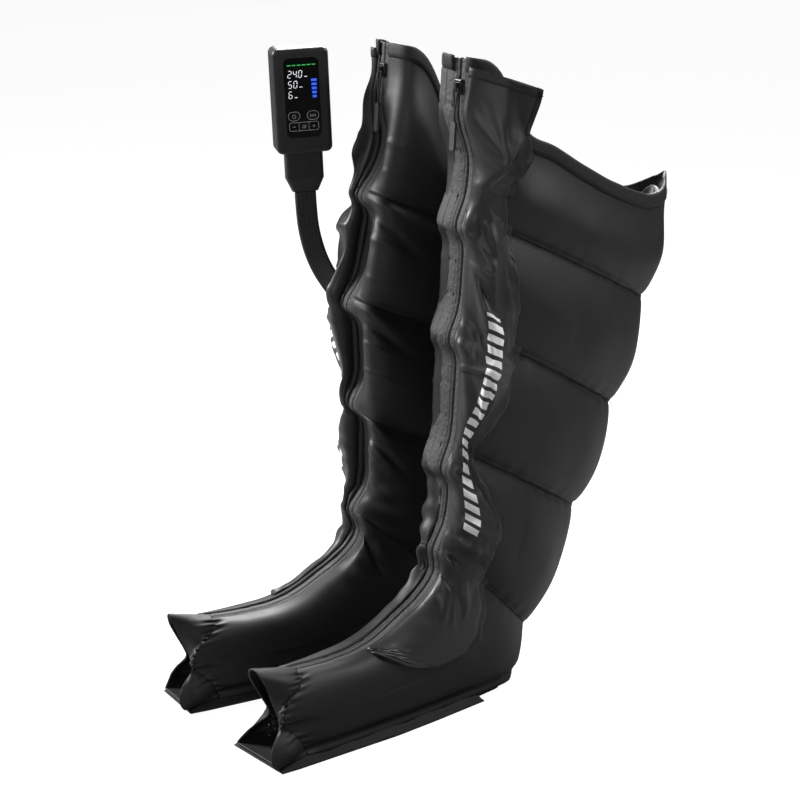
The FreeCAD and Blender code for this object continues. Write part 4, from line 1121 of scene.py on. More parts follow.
@dataclass(frozen=True)
class PuffedSkin:
    """Outer skin of a sleeve's chambers, puffed between the seams, with its puckers. Sizes are in millimetres.

    Attributes:
        seed: Seed of the small unevenness.
        forward: How far the front leans forward at most.
        slump: How far the rear of the top hangs down.
        full: Side, by the sign of u, on which the toe's end is drawn forward.
        tuck: Share of the half width by which the toe's other side is folded in at the floor.
        placket: Share of the broad inner tape that lies flat; the pad bulges over the rest.
        bump: Share of the wave by which the zip comes forward at a seam.
        drops: How far below each seam the zip comes forward.
    """

    seed: int
    forward: float = 0.0
    slump: float = 0.0
    full: float = 1.0
    tuck: float = 0.0
    placket: float = 1.0
    bump: float = 0.65
    drops: tuple[float, ...] = (20.0, 25.0, 36.0, 0.0)
    # The zip's waves: reach of a bump up and down, depth, start and run of their start and end.
    bump_reach: Span = (30.0, 16.0)
    wave: float = 22.0
    wave_start: Span = (62.0, 70.0)
    wave_end: Span = (20.0, 90.0)
    wave_loss: float = 0.8
    wave_toe: float = 60.0
    # How far the waves reach round, and how much further over the flat placket.
    wave_reach: Span = (17.0, 28.0)
    # Lean of the front: its share at distances down it, how far it is evened out and reaches round.
    lean_at: tuple[float, ...] = (70.0, 130.0, 190.0, 330.0, 490.0, 530.0, 660.0)
    lean: tuple[float, ...] = (0.0, 0.42, 0.58, 1.0, 0.4, 0.34, 0.0)
    lean_blur: float = 30.0
    lean_reach: float = 170.0
    # Top edge: how far it lies below the top at distances behind the front, and where it slumps.
    edge_gap: tuple[float, ...] = (
        0.0, 10.0, 25.0, 43.0, 56.0, 70.0, 88.0, 121.0, 166.0, 221.0, 268.0, 314.0, 342.0, 368.0)
    edge_drop: tuple[float, ...] = (
        0.0, 0.0, 6.0, 26.0, 54.0, 82.0, 101.0, 114.0, 141.0, 170.0, 190.0, 206.0, 205.0, 189.0)
    edge_blur: float = 9.0
    slump_span: Span = (90.0, 220.0)
    # Crowns: flat weld along a seam, heights, and their share and run at the heel, top and rear.
    band: float = 7.0
    puff: float = 19.0
    foot_puff: float = 10.0
    heel_puff: Span = (0.55, 0.3)
    hang: float = 1.15
    top_span: Span = (4.0, 90.0)
    rear_puff: Span = (0.62, 0.3)
    # Crowns beside the zip: share, start and run; some are larger over the flat placket.
    zip_puff: float = 0.3
    zip_span: Span = (-6.0, 10.0)
    puff_start: Span = (4.0, 10.0)
    puff_run: Span = (42.0, 34.0)
    # Unevenness and seam puckers: wave length, height, reach, and run round from the zip.
    uneven: Point = (95.0, 0.9, 40.0)
    gathers: tuple[float, ...] = (26.0, 0.8, 15.0, 30.0)
    toe_gathers: Span = (9.5, 2.0)
    # Puckers beside the zip: pitch and stray, height and sharpness, place and half length.
    pucker_way: Point = (41.0, 0.7, 53.0)
    pucker_form: Span = (3.4, 0.3)
    pucker_at: Span = (30.0, 17.0)
    pucker_start: Span = (90.0, 50.0)
    pucker_end: float = 40.0
    # Folds below the seams: slopes, the roll above and the dip of each, place and half length.
    fold_leans: tuple[float, ...] = (0.62, 0.45, 0.55, 0.4)
    fold_crest: Point = (3.0, 0.3, 9.0)
    fold_dip: Point = (5.0, 12.0, 6.5)
    fold_at: Span = (38.0, 30.0)
    # Wrinkles of the instep: height, pitch and slope, and where they lie.
    wrinkle: Point = (2.4, 27.0, 21.0)
    wrinkle_along: Span = (-20.0, 75.0)
    wrinkle_round: Span = (38.0, 34.0)
    # Creases of the foot: span of places, height with half width, and depth.
    creases: tuple[tuple[Span, Span, float], ...] = (
        ((4.0, 0.12), (15.0, 6.0), 5.0), ((4.82, 0.18), (50.0, 7.0), 7.0))
    crease_run: float = 30.0
    # Toe's end: where it is bowed forward and how far, and how its top is drawn back.
    toe_span: Span = (4.7, 0.3)
    toe_bow: Point = (36.0, 64.0, 30.0)
    toe_nod: float = 16.0
    toe_nod_span: Span = (84.0, 16.0)
    toe_run: float = 26.0
    # Share of that bow on the other side, and slope of the underside.
    slack: float = 0.2
    floor_slope: float = 0.02

    def recess(self, distance: Array) -> Array:
        """How far the zip lies back between the chambers at distances down it."""
        seams = np.array(FORM.front_seams[1:]) * FORM.front_length + np.array(self.drops)
        back = np.ones_like(np.asarray(distance, float))
        for seam in seams:
            gap = distance - seam
            back = back * (1.0 - self.bump * hump(gap, np.where(gap < 0.0, *self.bump_reach)))
        start = rise(distance, *self.wave_start)
        end = 1.0 - self.wave_loss * rise(distance - seams[-1], *self.wave_end)
        toe = 1.0 - rise(distance - FORM.front_length, -self.wave_toe, self.wave_toe)
        return self.wave * back * start * end * toe

    def lead(self, distance: Array) -> Array:
        """How far the front leans forward at a distance down it."""
        return self.forward * blurred(distance, self.lean_blur, self.lean_at, self.lean)

    def zip_back(self, distance: Array) -> Array:
        """How far the zip lies behind its straight line at a distance down it."""
        return self.recess(distance) - self.lead(distance)

    @cached_property
    def scoop(self) -> Array:
        """Place down the sleeve of the scooped top edge, for each column."""
        points = FORM.table[0][0]
        gap = points[:, 1] - points[:, 1].min()
        drop = blurred(gap, self.edge_blur, self.edge_gap, self.edge_drop)
        drop = drop + self.slump * rise(gap, *self.slump_span)
        chord = points[:, 2].max() - points[:, 2]
        return (drop - chord) / FORM.lengths[0]

    def at(self, places: Array, puffed: float = 1.0) -> Array:
        """Points of the skin.

        Args:
            places: Places down the sleeve, shape (n, columns).
            puffed: Share of the crown.

        Returns:
            Points in millimetres, shape (n, columns, 3).
        """
        points, _, round_zip = FORM.table
        along = self.distance(places)
        inside = np.arange(FORM.columns)[None, :] > FORM.columns // 2
        away = FORM.look_up(round_zip, places) + inside * (1.0 - self.placket) * FORM.wide(along)
        flat = inside * self.placket * FORM.wide(along) / FORM.placket
        tail = np.abs(np.linspace(-1.0, 1.0, FORM.columns))[None, :]
        chamber = chamber_index(places)
        first = np.where(chamber == 0, self.scoop[None, :], 0.0)
        share = np.clip((places - chamber - first) / (1.0 - first), 0.0, 1.0)
        room = FORM.lengths[chamber, np.broadcast_to(np.arange(FORM.columns), places.shape)] * (1.0 - first)
        crown = self._crown(share, room, chamber)
        length, height, run = self.uneven
        gap = 400.0 * (tail > 0.5)
        ripple = Ripple(self.seed, length).at(along, away + gap) * height * ease(away / run)
        out = (crown * self._height(places, away, flat, tail) + ripple * crown) * puffed
        out = out + self._gathers(share, room, away, chamber) + self._beside_zip(along, away, share)
        moved = FORM.look_up(points, places) + FORM.normals(places) * out[..., None]
        near, more = self.wave_reach
        back = self.recess(along) * hump(np.maximum(away, 0.0), near + more * flat)
        back = back - self.lead(along) * (1.0 - ease(away / self.lean_reach))
        moved[..., 1:] += FORM.look_up(self.inward_table, places) * back[..., None]
        return self._foot(moved, places)

    def _crown(self, share: Array, room: Array, chamber: Array) -> Array:
        """Form of the crowns between the seams.

        Args:
            share: Share of the way down the chamber.
            room: Length of the chamber there.
            chamber: Index of the chamber.

        Returns:
            Heights from 0 to 1.
        """
        inner = np.clip((share * room - self.band / 2.0) / np.maximum(room - self.band, 1.0), 0.0, 1.0)
        skewed = inner ** self.hang
        crown = np.sqrt(np.maximum(0.0, 1.0 - (2.0 * skewed - 1.0) ** 2))
        crown = lerp(crown, np.sin(np.pi * skewed), 0.5)
        return crown * np.where(chamber == 0, rise(share * room, *self.top_span), 1.0)

    def _height(self, places: Array, away: Array, flat: Array, tail: Array) -> Array:
        """Height of the crowns.

        Args:
            places: Places down the sleeve.
            away: Distance round from the zip's flat front.
            flat: Share of the flat placket, on the inner side.
            tail: Share of the way from the rear to the zip.

        Returns:
            Heights in millimetres.
        """
        heel_share, heel_run = self.heel_puff
        heel = np.clip((places - FOOT_AT) / heel_run, 0.0, 1.0)
        foot = chamber_index(places) == Chamber.FOOT.value
        height = np.where(foot, self.foot_puff * lerp(heel_share, 1.0, heel), self.puff)
        rear_share, rear_run = self.rear_puff
        (start, later), (run, longer) = self.puff_start, self.puff_run
        grown = ease((away - start - later * flat) / (run + longer * flat))
        beside = self.zip_puff * rise(away, *self.zip_span)
        return height * lerp(rear_share, 1.0, ease(tail / rear_run)) * lerp(beside, 1.0, grown)

    @cached_property
    def inward_table(self) -> Array:
        """Way in from the front line, for each place of the table."""
        ways = [FORM.inward(FORM.front(FORM.front_share(float(p)) * FORM.front_length)[1]) for p in FORM.places]
        return np.repeat(np.array(ways)[:, None, :], FORM.columns, axis=1)

    def distance(self, places: Array) -> Array:
        """Distance down the front line at places down the sleeve."""
        dense = np.linspace(0.0, TOE_AT, 201)
        shares = np.array([FORM.front_share(float(p)) for p in dense])
        return np.interp(places, dense, shares) * FORM.front_length

    def _gathers(self, share: Array, room: Array, away: Array, chamber: Array) -> Array:
        """Small puckers that run out of the seams.

        Args:
            share: Share of the way down the chamber.
            room: Length of the chamber there.
            away: Distance round from the zip's flat front.
            chamber: Index of the chamber.

        Returns:
            Heights in millimetres.
        """
        length, height, reach, run = self.gathers
        near_top = np.where(chamber > 0, hump(share * room, reach), 0.0)
        near_bottom = hump((1.0 - share) * room, reach)
        wave = Ripple(self.seed + 3, length).at(away, chamber * 137.0)
        toe_pitch, toe_height = self.toe_gathers
        even = near_bottom * np.sin(away * math.tau / toe_pitch) * toe_height
        toe = np.where(chamber == Chamber.FOOT.value, even, 0.0)
        return height * wave * (near_top + near_bottom) * ease(away / run) + toe

    def _beside_zip(self, along: Array, away: Array, share: Array) -> Array:
        """Short sharp level puckers beside the zip, the folds below the seams and the instep's wrinkles.

        Args:
            along: Distance down the front line.
            away: Distance round from the zip's flat front.
            share: Share of the way down the chamber.

        Returns:
            Heights in millimetres.
        """
        (pitch, stray, stray_length), (height, sharp) = self.pucker_way, self.pucker_form
        at, half = self.pucker_at
        turn = along * math.pi / pitch + stray * np.sin(along / stray_length + self.seed)
        crest = hump(np.sin(turn), sharp) - 0.3
        seam = FORM.front_seams[-1] * FORM.front_length
        end = 1.0 - ease((along - seam) / self.pucker_end)
        total = height * crest * hump(away - at, half) * np.sin(np.pi * share) * end
        total = total * rise(along, *self.pucker_start)
        (roll, slope, roll_half), (dip, dip_at, dip_half) = self.fold_crest, self.fold_dip
        at, half = self.fold_at
        for start, lean in zip(FORM.front_seams[1:], self.fold_leans):
            below = along - start * FORM.front_length
            fold = roll * hump(below - slope * away, roll_half) - dip * hump(below - dip_at - lean * away, dip_half)
            total = total + fold * hump(away - at, half)
        (height, pitch, round_pitch), (past, length), (at, half) = self.wrinkle, self.wrinkle_along, self.wrinkle_round
        instep = hump(along - seam - past, length) * hump(away - at, half)
        return total + height * np.sin(along * math.tau / pitch + away / round_pitch) * instep

    def _foot(self, points: Array, places: Array) -> Array:
        """Put the foot flat on its sole, with its creases and the toe's end bowed forward.

        Args:
            points: Points of the skin, changed in place.
            places: Their places down the sleeve.

        Returns:
            The same points.
        """
        z = points[..., 2]
        out = np.abs(points[..., 0])
        sign = np.sign(points[..., 0])
        crease = sum(rise(places, *span) * hump(z - at, half) * depth for span, (at, half), depth in self.creases)
        points[..., 0] -= sign * crease * ease(out / self.crease_run)
        far, at, half = self.toe_bow
        bow = far * hump(z - at, half) - self.toe_nod * rise(z, *self.toe_nod_span)
        toe = rise(places, *self.toe_span)
        points[..., 1] -= bow * toe * ease(out / self.toe_run) * np.where(sign == self.full, 1.0, self.slack)
        points[..., 2] = np.where(places > FOOT_AT, np.maximum(z, FORM.floor + self.floor_slope * out), z)
        return points


def unfold(points: Array) -> Array:
    """Places of a grid's points on the unfolded cloth, across and down in metres."""
    down = np.linalg.norm(np.diff(points, axis=0), axis=2).mean(axis=1)
    down = np.concatenate([[0.0], np.cumsum(down)])[:, None]
    return np.stack(np.broadcast_arrays(run_along(points), down), axis=2) * MM


def shell(name: str, side: Side, outer: Array, inner: Array, closed: bool = False) -> bpy.types.Object:
    """Closed object between an outer and an inner grid of points.

    Args:
        name: Name of the object.
        side: Which sleeve.
        outer: Outer places in millimetres, shape (rows, columns, 3).
        inner: Inner places, same shape.
        closed: Whether the last column joins the first.

    Returns:
        The object.
    """
    rows, columns, _ = outer.shape
    count = rows * columns
    faces = grid_faces(rows, columns, 0, closed) + grid_faces(rows, columns, count, closed)
    index = np.arange(count).reshape(rows, columns)
    edges = [index[0], index[-1]]
    if closed:
        edges = [np.append(edge, edge[0]) for edge in edges]
    else:
        edges += [index[:, 0], index[:, -1]]
    for edge in edges:
        faces += strip_faces(edge.tolist(), (edge + count).tolist())
    places = np.concatenate([outer.reshape(-1, 3), inner.reshape(-1, 3)])
    flat = np.concatenate([unfold(outer).reshape(-1, 2), unfold(inner).reshape(-1, 2)])
    return mesh_object(name, STANCE.row(places, side), faces, flat)


@dataclass
class PaddedSleeve:
    """The padded chambers of one sleeve with its top binding, toe hem and sole. Sizes are in millimetres.

    Attributes:
        side: Which sleeve.
        skin: Its outer skin.
    """

    side: Side
    skin: PuffedSkin
    # Pads: distance of the rows, fill, depth of the padding, and its least at seams, zip and floor.
    row_step: float = 3.6
    fill: float = 0.75
    wall: float = 17.0
    seam_wall: float = 0.42
    edge_wall: float = 3.0
    wall_span: Span = (4.0, 40.0)
    liner_floor: float = 9.0
    # Top binding: height, lap, thickness, rows as share of its height and bulge, waves of its edge.
    binding: float = 16.0
    binding_lap: float = 2.0
    binding_thickness: float = 3.2
    binding_rows: tuple[Span, ...] = ((1.0, 0.6), (0.72, 1.1), (0.4, 0.8), (0.15, 0.9), (0.0, 0.0))
    binding_swing: Span = (120.0, 2.2)
    # Ear at its rear: half share of the way round, how far it is pressed flat, drawn up and thinned.
    ear: Span = (0.09, 0.72)
    ear_rise: Span = (7.0, 6.0)
    ear_thin: float = 0.6
    # Edge of the open toe from its top round the fuller and the slack side: out, back and up.
    mouth: tuple[Point, ...] = (
        (0.0, -356.5, 121.5), (8.0, -357.0, 120.5), (14.0, -357.0, 115.0), (16.0, -352.5, 103.0),
        (13.5, -345.5, 87.0), (9.5, -337.0, 69.0), (8.0, -330.5, 55.0), (13.0, -330.5, 48.0), (28.0, -344.0, 44.0),
        (39.0, -359.0, 38.0), (44.0, -367.0, 27.0), (46.5, -367.0, 14.0), (48.0, -361.0, 5.2), (40.0, -355.0, 4.4),
        (20.0, -354.0, 4.4), (0.0, -354.0, 4.4))
    slack_mouth: tuple[Point, ...] = (
        (0.0, -356.5, 121.5), (8.0, -357.0, 120.5), (13.0, -357.0, 115.0), (14.0, -354.0, 103.0),
        (11.5, -346.5, 87.0), (8.0, -337.5, 69.0), (6.0, -331.0, 55.0), (11.0, -331.0, 47.0), (22.0, -338.0, 37.0),
        (33.0, -345.0, 25.0), (41.0, -351.0, 13.0), (45.0, -355.0, 5.2), (40.0, -354.0, 4.4), (20.0, -354.0, 4.4),
        (0.0, -354.0, 4.4))
    # Heights over which a tucked mouth is drawn together and folded in.
    mouth_fold: Span = (52.0, 10.0)
    mouth_pull: float = 1.4
    mouth_tuck: Span = (45.0, 40.0)
    # Cloth of the toe: points and rows, start over the seam, a point inside and thickness.
    toe_grid: tuple[int, int] = (72, 26)
    toe_top: Span = (9.0, 1.8)
    toe_middle: Point = (0.0, -340.0, 55.0)
    toe_wall: float = 2.2
    toe_floor: float = 1.6
    # Its puckers, unevenness and lobes: where they are, how many or long, and how far they go.
    toe_free: Span = (14.0, 0.86)
    toe_gather: tuple[float, ...] = (23.0, 15.0, 2.3, 1.8)
    toe_ripple: Point = (48.0, 1.8, 1.0)
    toe_swells: tuple[Point, ...] = ((5.0, 78.0, 30.0), (7.0, 24.0, 13.0))
    toe_slack: float = 0.2
    toe_stitch: float = 62.0
    # Sole: half widths from front to back, and rings of its selvage as out, up and share of the waves.
    heel_half: float = 43.0
    heel_ends: Span = (-6.0, 26.0)
    selvage_ends: Span = (-37.0, -354.0)
    selvage_at: tuple[float, ...] = (-354.0, -331.0, -256.0, -183.0, -117.0, -37.0)
    selvage_half: tuple[float, ...] = (49.0, 52.0, 57.0, 62.0, 62.0, 60.0)
    selvage_rings: tuple[Point, ...] = (
        (-16.0, 0.2, 0.0), (0.0, 0.25, 0.0), (0.5, 1.8, 0.2), (-5.0, 3.6, 0.9), (-10.5, 6.4, 1.0), (-15.0, 9.5, 1.0),
        (-18.0, 4.4, 0.2), (-26.0, 3.9, 0.0))
    selvage_wave: Point = (70.0, 1.1, 0.8)
    sole_tuck: Span = (300.0, 50.0)

    def build(self) -> None:
        """Build and dress every piece."""
        for chamber in Chamber:
            self.pad(chamber)
        self.top_binding()
        self.toe_hem()
        self.sole()

    def places(self, chamber: Chamber) -> Array:
        """Places down the sleeve of a chamber's grid."""
        length = float(FORM.lengths[chamber.value].max())
        rows = int(length / self.row_step) + 1
        share = np.linspace(0.0, 1.0 - TINY, rows)[:, None]
        if chamber is Chamber.FOOT:
            share = lerp(share, ease(share), 0.4)
        first = np.zeros(FORM.columns)
        if chamber is Chamber.THIGH:
            first = self.skin.scoop + self.binding / FORM.lengths[0]
        return chamber.value + lerp(np.broadcast_to(first, (rows, FORM.columns)), 1.0, share)

    def inner(self, places: Array, outer: Array) -> Array:
        """Liner behind the outer skin.

        Args:
            places: Places down the sleeve.
            outer: Points of the outer skin there.

        Returns:
            Points of the liner.
        """
        flat = self.skin.at(places, 0.0)
        normal = FORM.normals(places)
        away = FORM.look_up(FORM.table[2], places)
        share = places - chamber_index(places)
        soft = np.sqrt(np.maximum(0.0, 1.0 - (2.0 * np.clip(share, 0.0, 1.0) - 1.0) ** 2))
        wall = self.wall * lerp(self.seam_wall, 1.0, soft)
        liner = flat - normal * lerp(self.edge_wall, wall, rise(away, *self.wall_span))[..., None]
        floor = np.where(places > FOOT_AT, FORM.floor + self.liner_floor, -1.0)
        liner[..., 2] = np.maximum(liner[..., 2], floor)
        close = (np.linalg.norm(liner - outer, axis=2) < self.edge_wall)[..., None]
        return np.where(close, outer - normal * self.edge_wall, liner)

    def pad(self, chamber: Chamber) -> None:
        """One padded chamber, outer skin and liner."""
        places = self.places(chamber)
        outer = self.skin.at(places)
        word = self.side.named(chamber.name.lower())
        made = shell(f"{word}_pad", self.side, outer, self.inner(places, outer))
        dress(made, Finish.PAD, "sleeves", [f"{word}_chamber"])

    def top_binding(self) -> None:
        """Folded hem along the scooped top edge, drawn to an ear at the rear."""
        edge = self.skin.scoop
        low = edge + (self.binding + self.binding_lap) / FORM.lengths[0]
        shares, bulges = np.array(self.binding_rows).T[..., None]
        rows = lerp(edge[None, :], low[None, :], shares)
        outer = self.skin.at(rows, 0.0)
        normal = FORM.normals(rows)
        along = np.linspace(0.0, 1.0, FORM.columns)[None, :]
        length, height = self.binding_swing
        swing = Ripple(self.skin.seed + 11, length).at(along * 760.0, rows * 0.0) * height * (1.0 - shares)
        outer = outer + normal * (1.2 + swing + bulges)[..., None]
        reach, flat = self.ear
        lift = (1.0 - ease(np.abs(along - 0.5) / reach)) * (1.0 - shares)
        outer[..., 0] *= 1.0 - flat * lift
        outer[..., 1:] += lift[..., None] * np.array(self.ear_rise)
        inner = outer - normal * self.binding_thickness
        inner[..., 0] = np.where(lift > 0.5, inner[..., 0] * self.ear_thin, inner[..., 0])
        made = shell(self.side.named("top_hem"), self.side, outer, inner)
        dress(made, Finish.BINDING, "sleeves", [self.side.named("top_binding")])
        line = outer[1] + normal[1] * 0.5
        stitches(self.side.named("hem_stitches"), [STANCE.row(line, self.side)], "sleeves")

    def toe_side(self, sign: float) -> Array:
        """Grid of one side of the open toe from the seam to the mouth, by the sign of u."""
        count, rows = self.toe_grid
        full = sign == self.skin.full
        flip = np.array([sign, 1.0, 1.0])
        share = np.linspace(0.0, 1.0, count)
        seam = self.skin.at(np.full((1, FORM.columns), TOE_AT - TINY))[0]
        top = [[0.0, *(seam[0, 1:] + np.array(self.toe_top))]]
        half = (seam if sign > 0 else seam[::-1])[FORM.lead_count: FORM.columns // 2 + 1] * flip
        mouth = np.array(self.mouth if full else self.slack_mouth)
        mouth[:, 0] *= 1.0 - self.mouth_pull * self.skin.tuck * rise(mouth[:, 2], *self.mouth_fold)
        if not full:
            tuck_at, tuck_run = self.mouth_tuck
            mouth[:, 0] *= 1.0 - self.skin.tuck * ease((tuck_at - mouth[:, 2]) / tuck_run)
        start, end = (spread(line, share) for line in (np.concatenate([top, half]), mouth))
        start[-1, 0] = 0.0
        down = np.linspace(0.0, 1.0, rows)[:, None]
        side = lerp(start[None], end[None], lerp(down, ease(down), 0.3)[..., None])
        free_run, free_end = self.toe_free
        free = ease(side[..., 0] / free_run) * (share < free_end)
        (puckers, reach, out, forward), (length, ripple_out, ripple_forward) = self.toe_gather, self.toe_ripple
        gather = hump(down * 46.0, reach) * np.sin(share * puckers * math.tau)[None, :]
        ripple = Ripple(self.skin.seed + 21, length).at(down * 52.0, share[None, :] * 190.0) * np.sin(np.pi * down)
        swell = sum(height * hump(side[..., 2] - at, half) for height, at, half in self.toe_swells)
        swell = swell * np.sin(np.pi * down) * (1.0 if full else self.toe_slack)
        side[..., 0] += (out * gather + ripple_out * ripple + swell) * free
        side[..., 1] -= (forward * gather + ripple_forward * ripple) * free
        return side * flip

    def toe_hem(self) -> None:
        """Thin open toe in front of the foot chamber, pinched at half height."""
        outer = np.concatenate([self.toe_side(1.0), self.toe_side(-1.0)[:, -2:0:-1]], axis=1)
        outer[..., 2] = np.maximum(outer[..., 2], FORM.floor)
        way = np.cross(np.gradient(outer, axis=1), np.gradient(outer, axis=0))
        way *= np.sign(np.sum(way * (outer - np.array(self.toe_middle)) * np.array([1.0, 0.0, 1.0])))
        way = unit(way, TINY)
        inner = outer - way * self.toe_wall
        inner[..., 2] = np.maximum(inner[..., 2], FORM.floor + self.toe_floor)
        made = shell(self.side.named("toe_cuff"), self.side, outer, inner, True)
        dress(made, Finish.TOE, "sleeves", [self.side.named("toe_hem")])
        rim = outer[-4] + way[-4] * 0.2
        low = np.flatnonzero(rim[:, 2] < self.toe_stitch)
        line = np.concatenate([rim[low[-1] + 1:], rim[: low[0]]])
        stitches(self.side.named("toe_stitches"), [STANCE.row(line, self.side)], "sleeves")

    def sole_outline(self) -> Array:
        """Outline of the sole, as out and back, round from the middle of the heel."""
        (side_v, heel_v), (cut_v, toe_v) = self.heel_ends, self.selvage_ends
        angle = np.linspace(0.0, math.pi / 2.0, 21)[::-1]
        heel = np.stack([self.heel_half * np.cos(angle), side_v + (heel_v - side_v) * np.sin(angle)], axis=1)
        side = np.linspace(cut_v, toe_v, 96)
        half = np.interp(side, self.selvage_at, self.selvage_half)
        front = np.linspace(half[-1], 0.0, 16)[1:]
        right = np.concatenate([
            heel,
            [(self.heel_half + 2.0, cut_v + 1.5)],
            np.stack([half, side], axis=1),
            np.stack([front, np.full(len(front), toe_v)], axis=1),
        ])
        outline = np.concatenate([right, right[-2:0:-1] * np.array([-1.0, 1.0])])
        start, run = self.sole_tuck
        tuck = self.skin.tuck * ease((-start - outline[:, 1]) / run) * (outline[:, 0] * self.skin.full < 0.0)
        outline[:, 0] *= 1.0 - tuck
        return outline

    def sole(self) -> None:
        """Flat sole with a soft selvage along its sides that ends at the heel."""
        outline = self.sole_outline()
        cut_v, toe_v = self.selvage_ends
        u, v = outline.T
        way = unit(outline - np.stack([u * 0.0, np.clip(v, -320.0, -10.0)], axis=1))
        stand = np.where(np.abs(v - toe_v) < 0.5, 0.0, 1.0) * (v < cut_v + 1.0)
        length, wave_up, wave_out = self.selvage_wave
        wave = Ripple(self.skin.seed + 31, length).at(v, u * 3.0)
        rings = []
        for out, up, share in self.selvage_rings:
            lift = np.where(up > 3.0, lerp(3.0, up, stand), up) + wave * wave_up * share * stand
            place = outline + way * (out + wave * wave_out * share)[:, None]
            rings.append(np.concatenate([place, lift[:, None]], axis=1))
        points = np.concatenate(rings)
        faces = tube_faces(len(rings), len(outline))
        made = mesh_object(self.side.named("sole_cloth"), STANCE.row(points, self.side), faces, points[:, :2] * MM)
        dress(made, Finish.SOLE, "sleeves", [self.side.named("sole_panel")])


# Repeated pieces


class Copies(Enum):
    """Small shapes that are set along lines: name of the tree, finish, and what sizes X, Y and Z take."""

    STITCHES = ("stitch row", Finish.THREAD, ("Radius", "Radius", "Length"))
    LOOPS = ("coil loops", Finish.COIL, ("Length", "Radius", "Radius"))

    @cached_property
    def group(self) -> tuple[bpy.types.NodeTree, dict[str, str]]:
        """Tree that sets the copies at an even pitch, and the identifiers of its sizes, built once."""
        name, finish, axes = self.value
        group = bpy.data.node_groups.new(name, "GeometryNodeTree")
        group.interface.new_socket("Geometry", in_out="INPUT", socket_type="NodeSocketGeometry")
        sizes = {
            label: group.interface.new_socket(label, in_out="INPUT", socket_type="NodeSocketFloat").identifier
            for label in ("Pitch", "Length", "Radius")
        }
        group.interface.new_socket("Geometry", in_out="OUTPUT", socket_type="NodeSocketGeometry")
        tree = Tree(group)
        given = tree.node("NodeGroupInput", {}, {})
        points = tree.node(
            "GeometryNodeCurveToPoints", {"mode": "LENGTH"}, {"Curve": given, "Length": given.other("Pitch")})
        ball = tree.node("GeometryNodeMeshUVSphere", {}, {"Segments": 6, "Rings": 4, "Radius": 1.0})
        size = tree.node("ShaderNodeCombineXYZ", {}, {axis: given.other(label) for axis, label in zip("XYZ", axes)})
        made = tree.node("GeometryNodeInstanceOnPoints", {}, {
            "Points": points, "Instance": ball, "Rotation": points.other("Rotation"), "Scale": size})
        for kind in ("GeometryNodeRealizeInstances", "GeometryNodeSetShadeSmooth"):
            made = tree.node(kind, {}, {"Geometry": made})
        made = tree.node("GeometryNodeSetMaterial", {}, {"Geometry": made, "Material": finish.material})
        tree.node("NodeGroupOutput", {}, {"Geometry": made})
        return group, sizes

    def along(self, name: str, lines: Sequence[Array], pitch: float, length: float, radius: float) -> bpy.types.Object:
        """Copies along lines, as one plain mesh.

        Args:
            name: Name of the object.
            lines: Points of each line in metres.
            pitch: Distance of the copies in millimetres.
            length: Half length of a copy in millimetres.
            radius: Half width of a copy in millimetres.

        Returns:
            The object.
        """
        group, sizes = self.group
        guide = curve_object(name + "_line", lines, "POLY")
        modifier = guide.modifiers.new("copies", "NODES")
        modifier.node_group = group
        for label, value in (("Pitch", pitch), ("Length", length), ("Radius", radius)):
            modifier[sizes[label]] = value * MM
        mesh = final_mesh(guide)
        guide.modifiers.remove(modifier)
        bpy.data.objects.remove(guide)
        mesh.name = name
        return placed(name, mesh)


def stitches(name: str, lines: Sequence[Array], body: str, pitch: float = 3.6) -> None:
    """Rows of stitches along lines.

    Args:
        name: Name of the piece.
        lines: Points of each line in metres.
        body: Body that the piece rides on.
        pitch: Distance of the stitches in millimetres.
    """
    made = Copies.STITCHES.along(name, lines, pitch, 1.3, 0.34)
    dress(made, Finish.THREAD, body)


# The zip


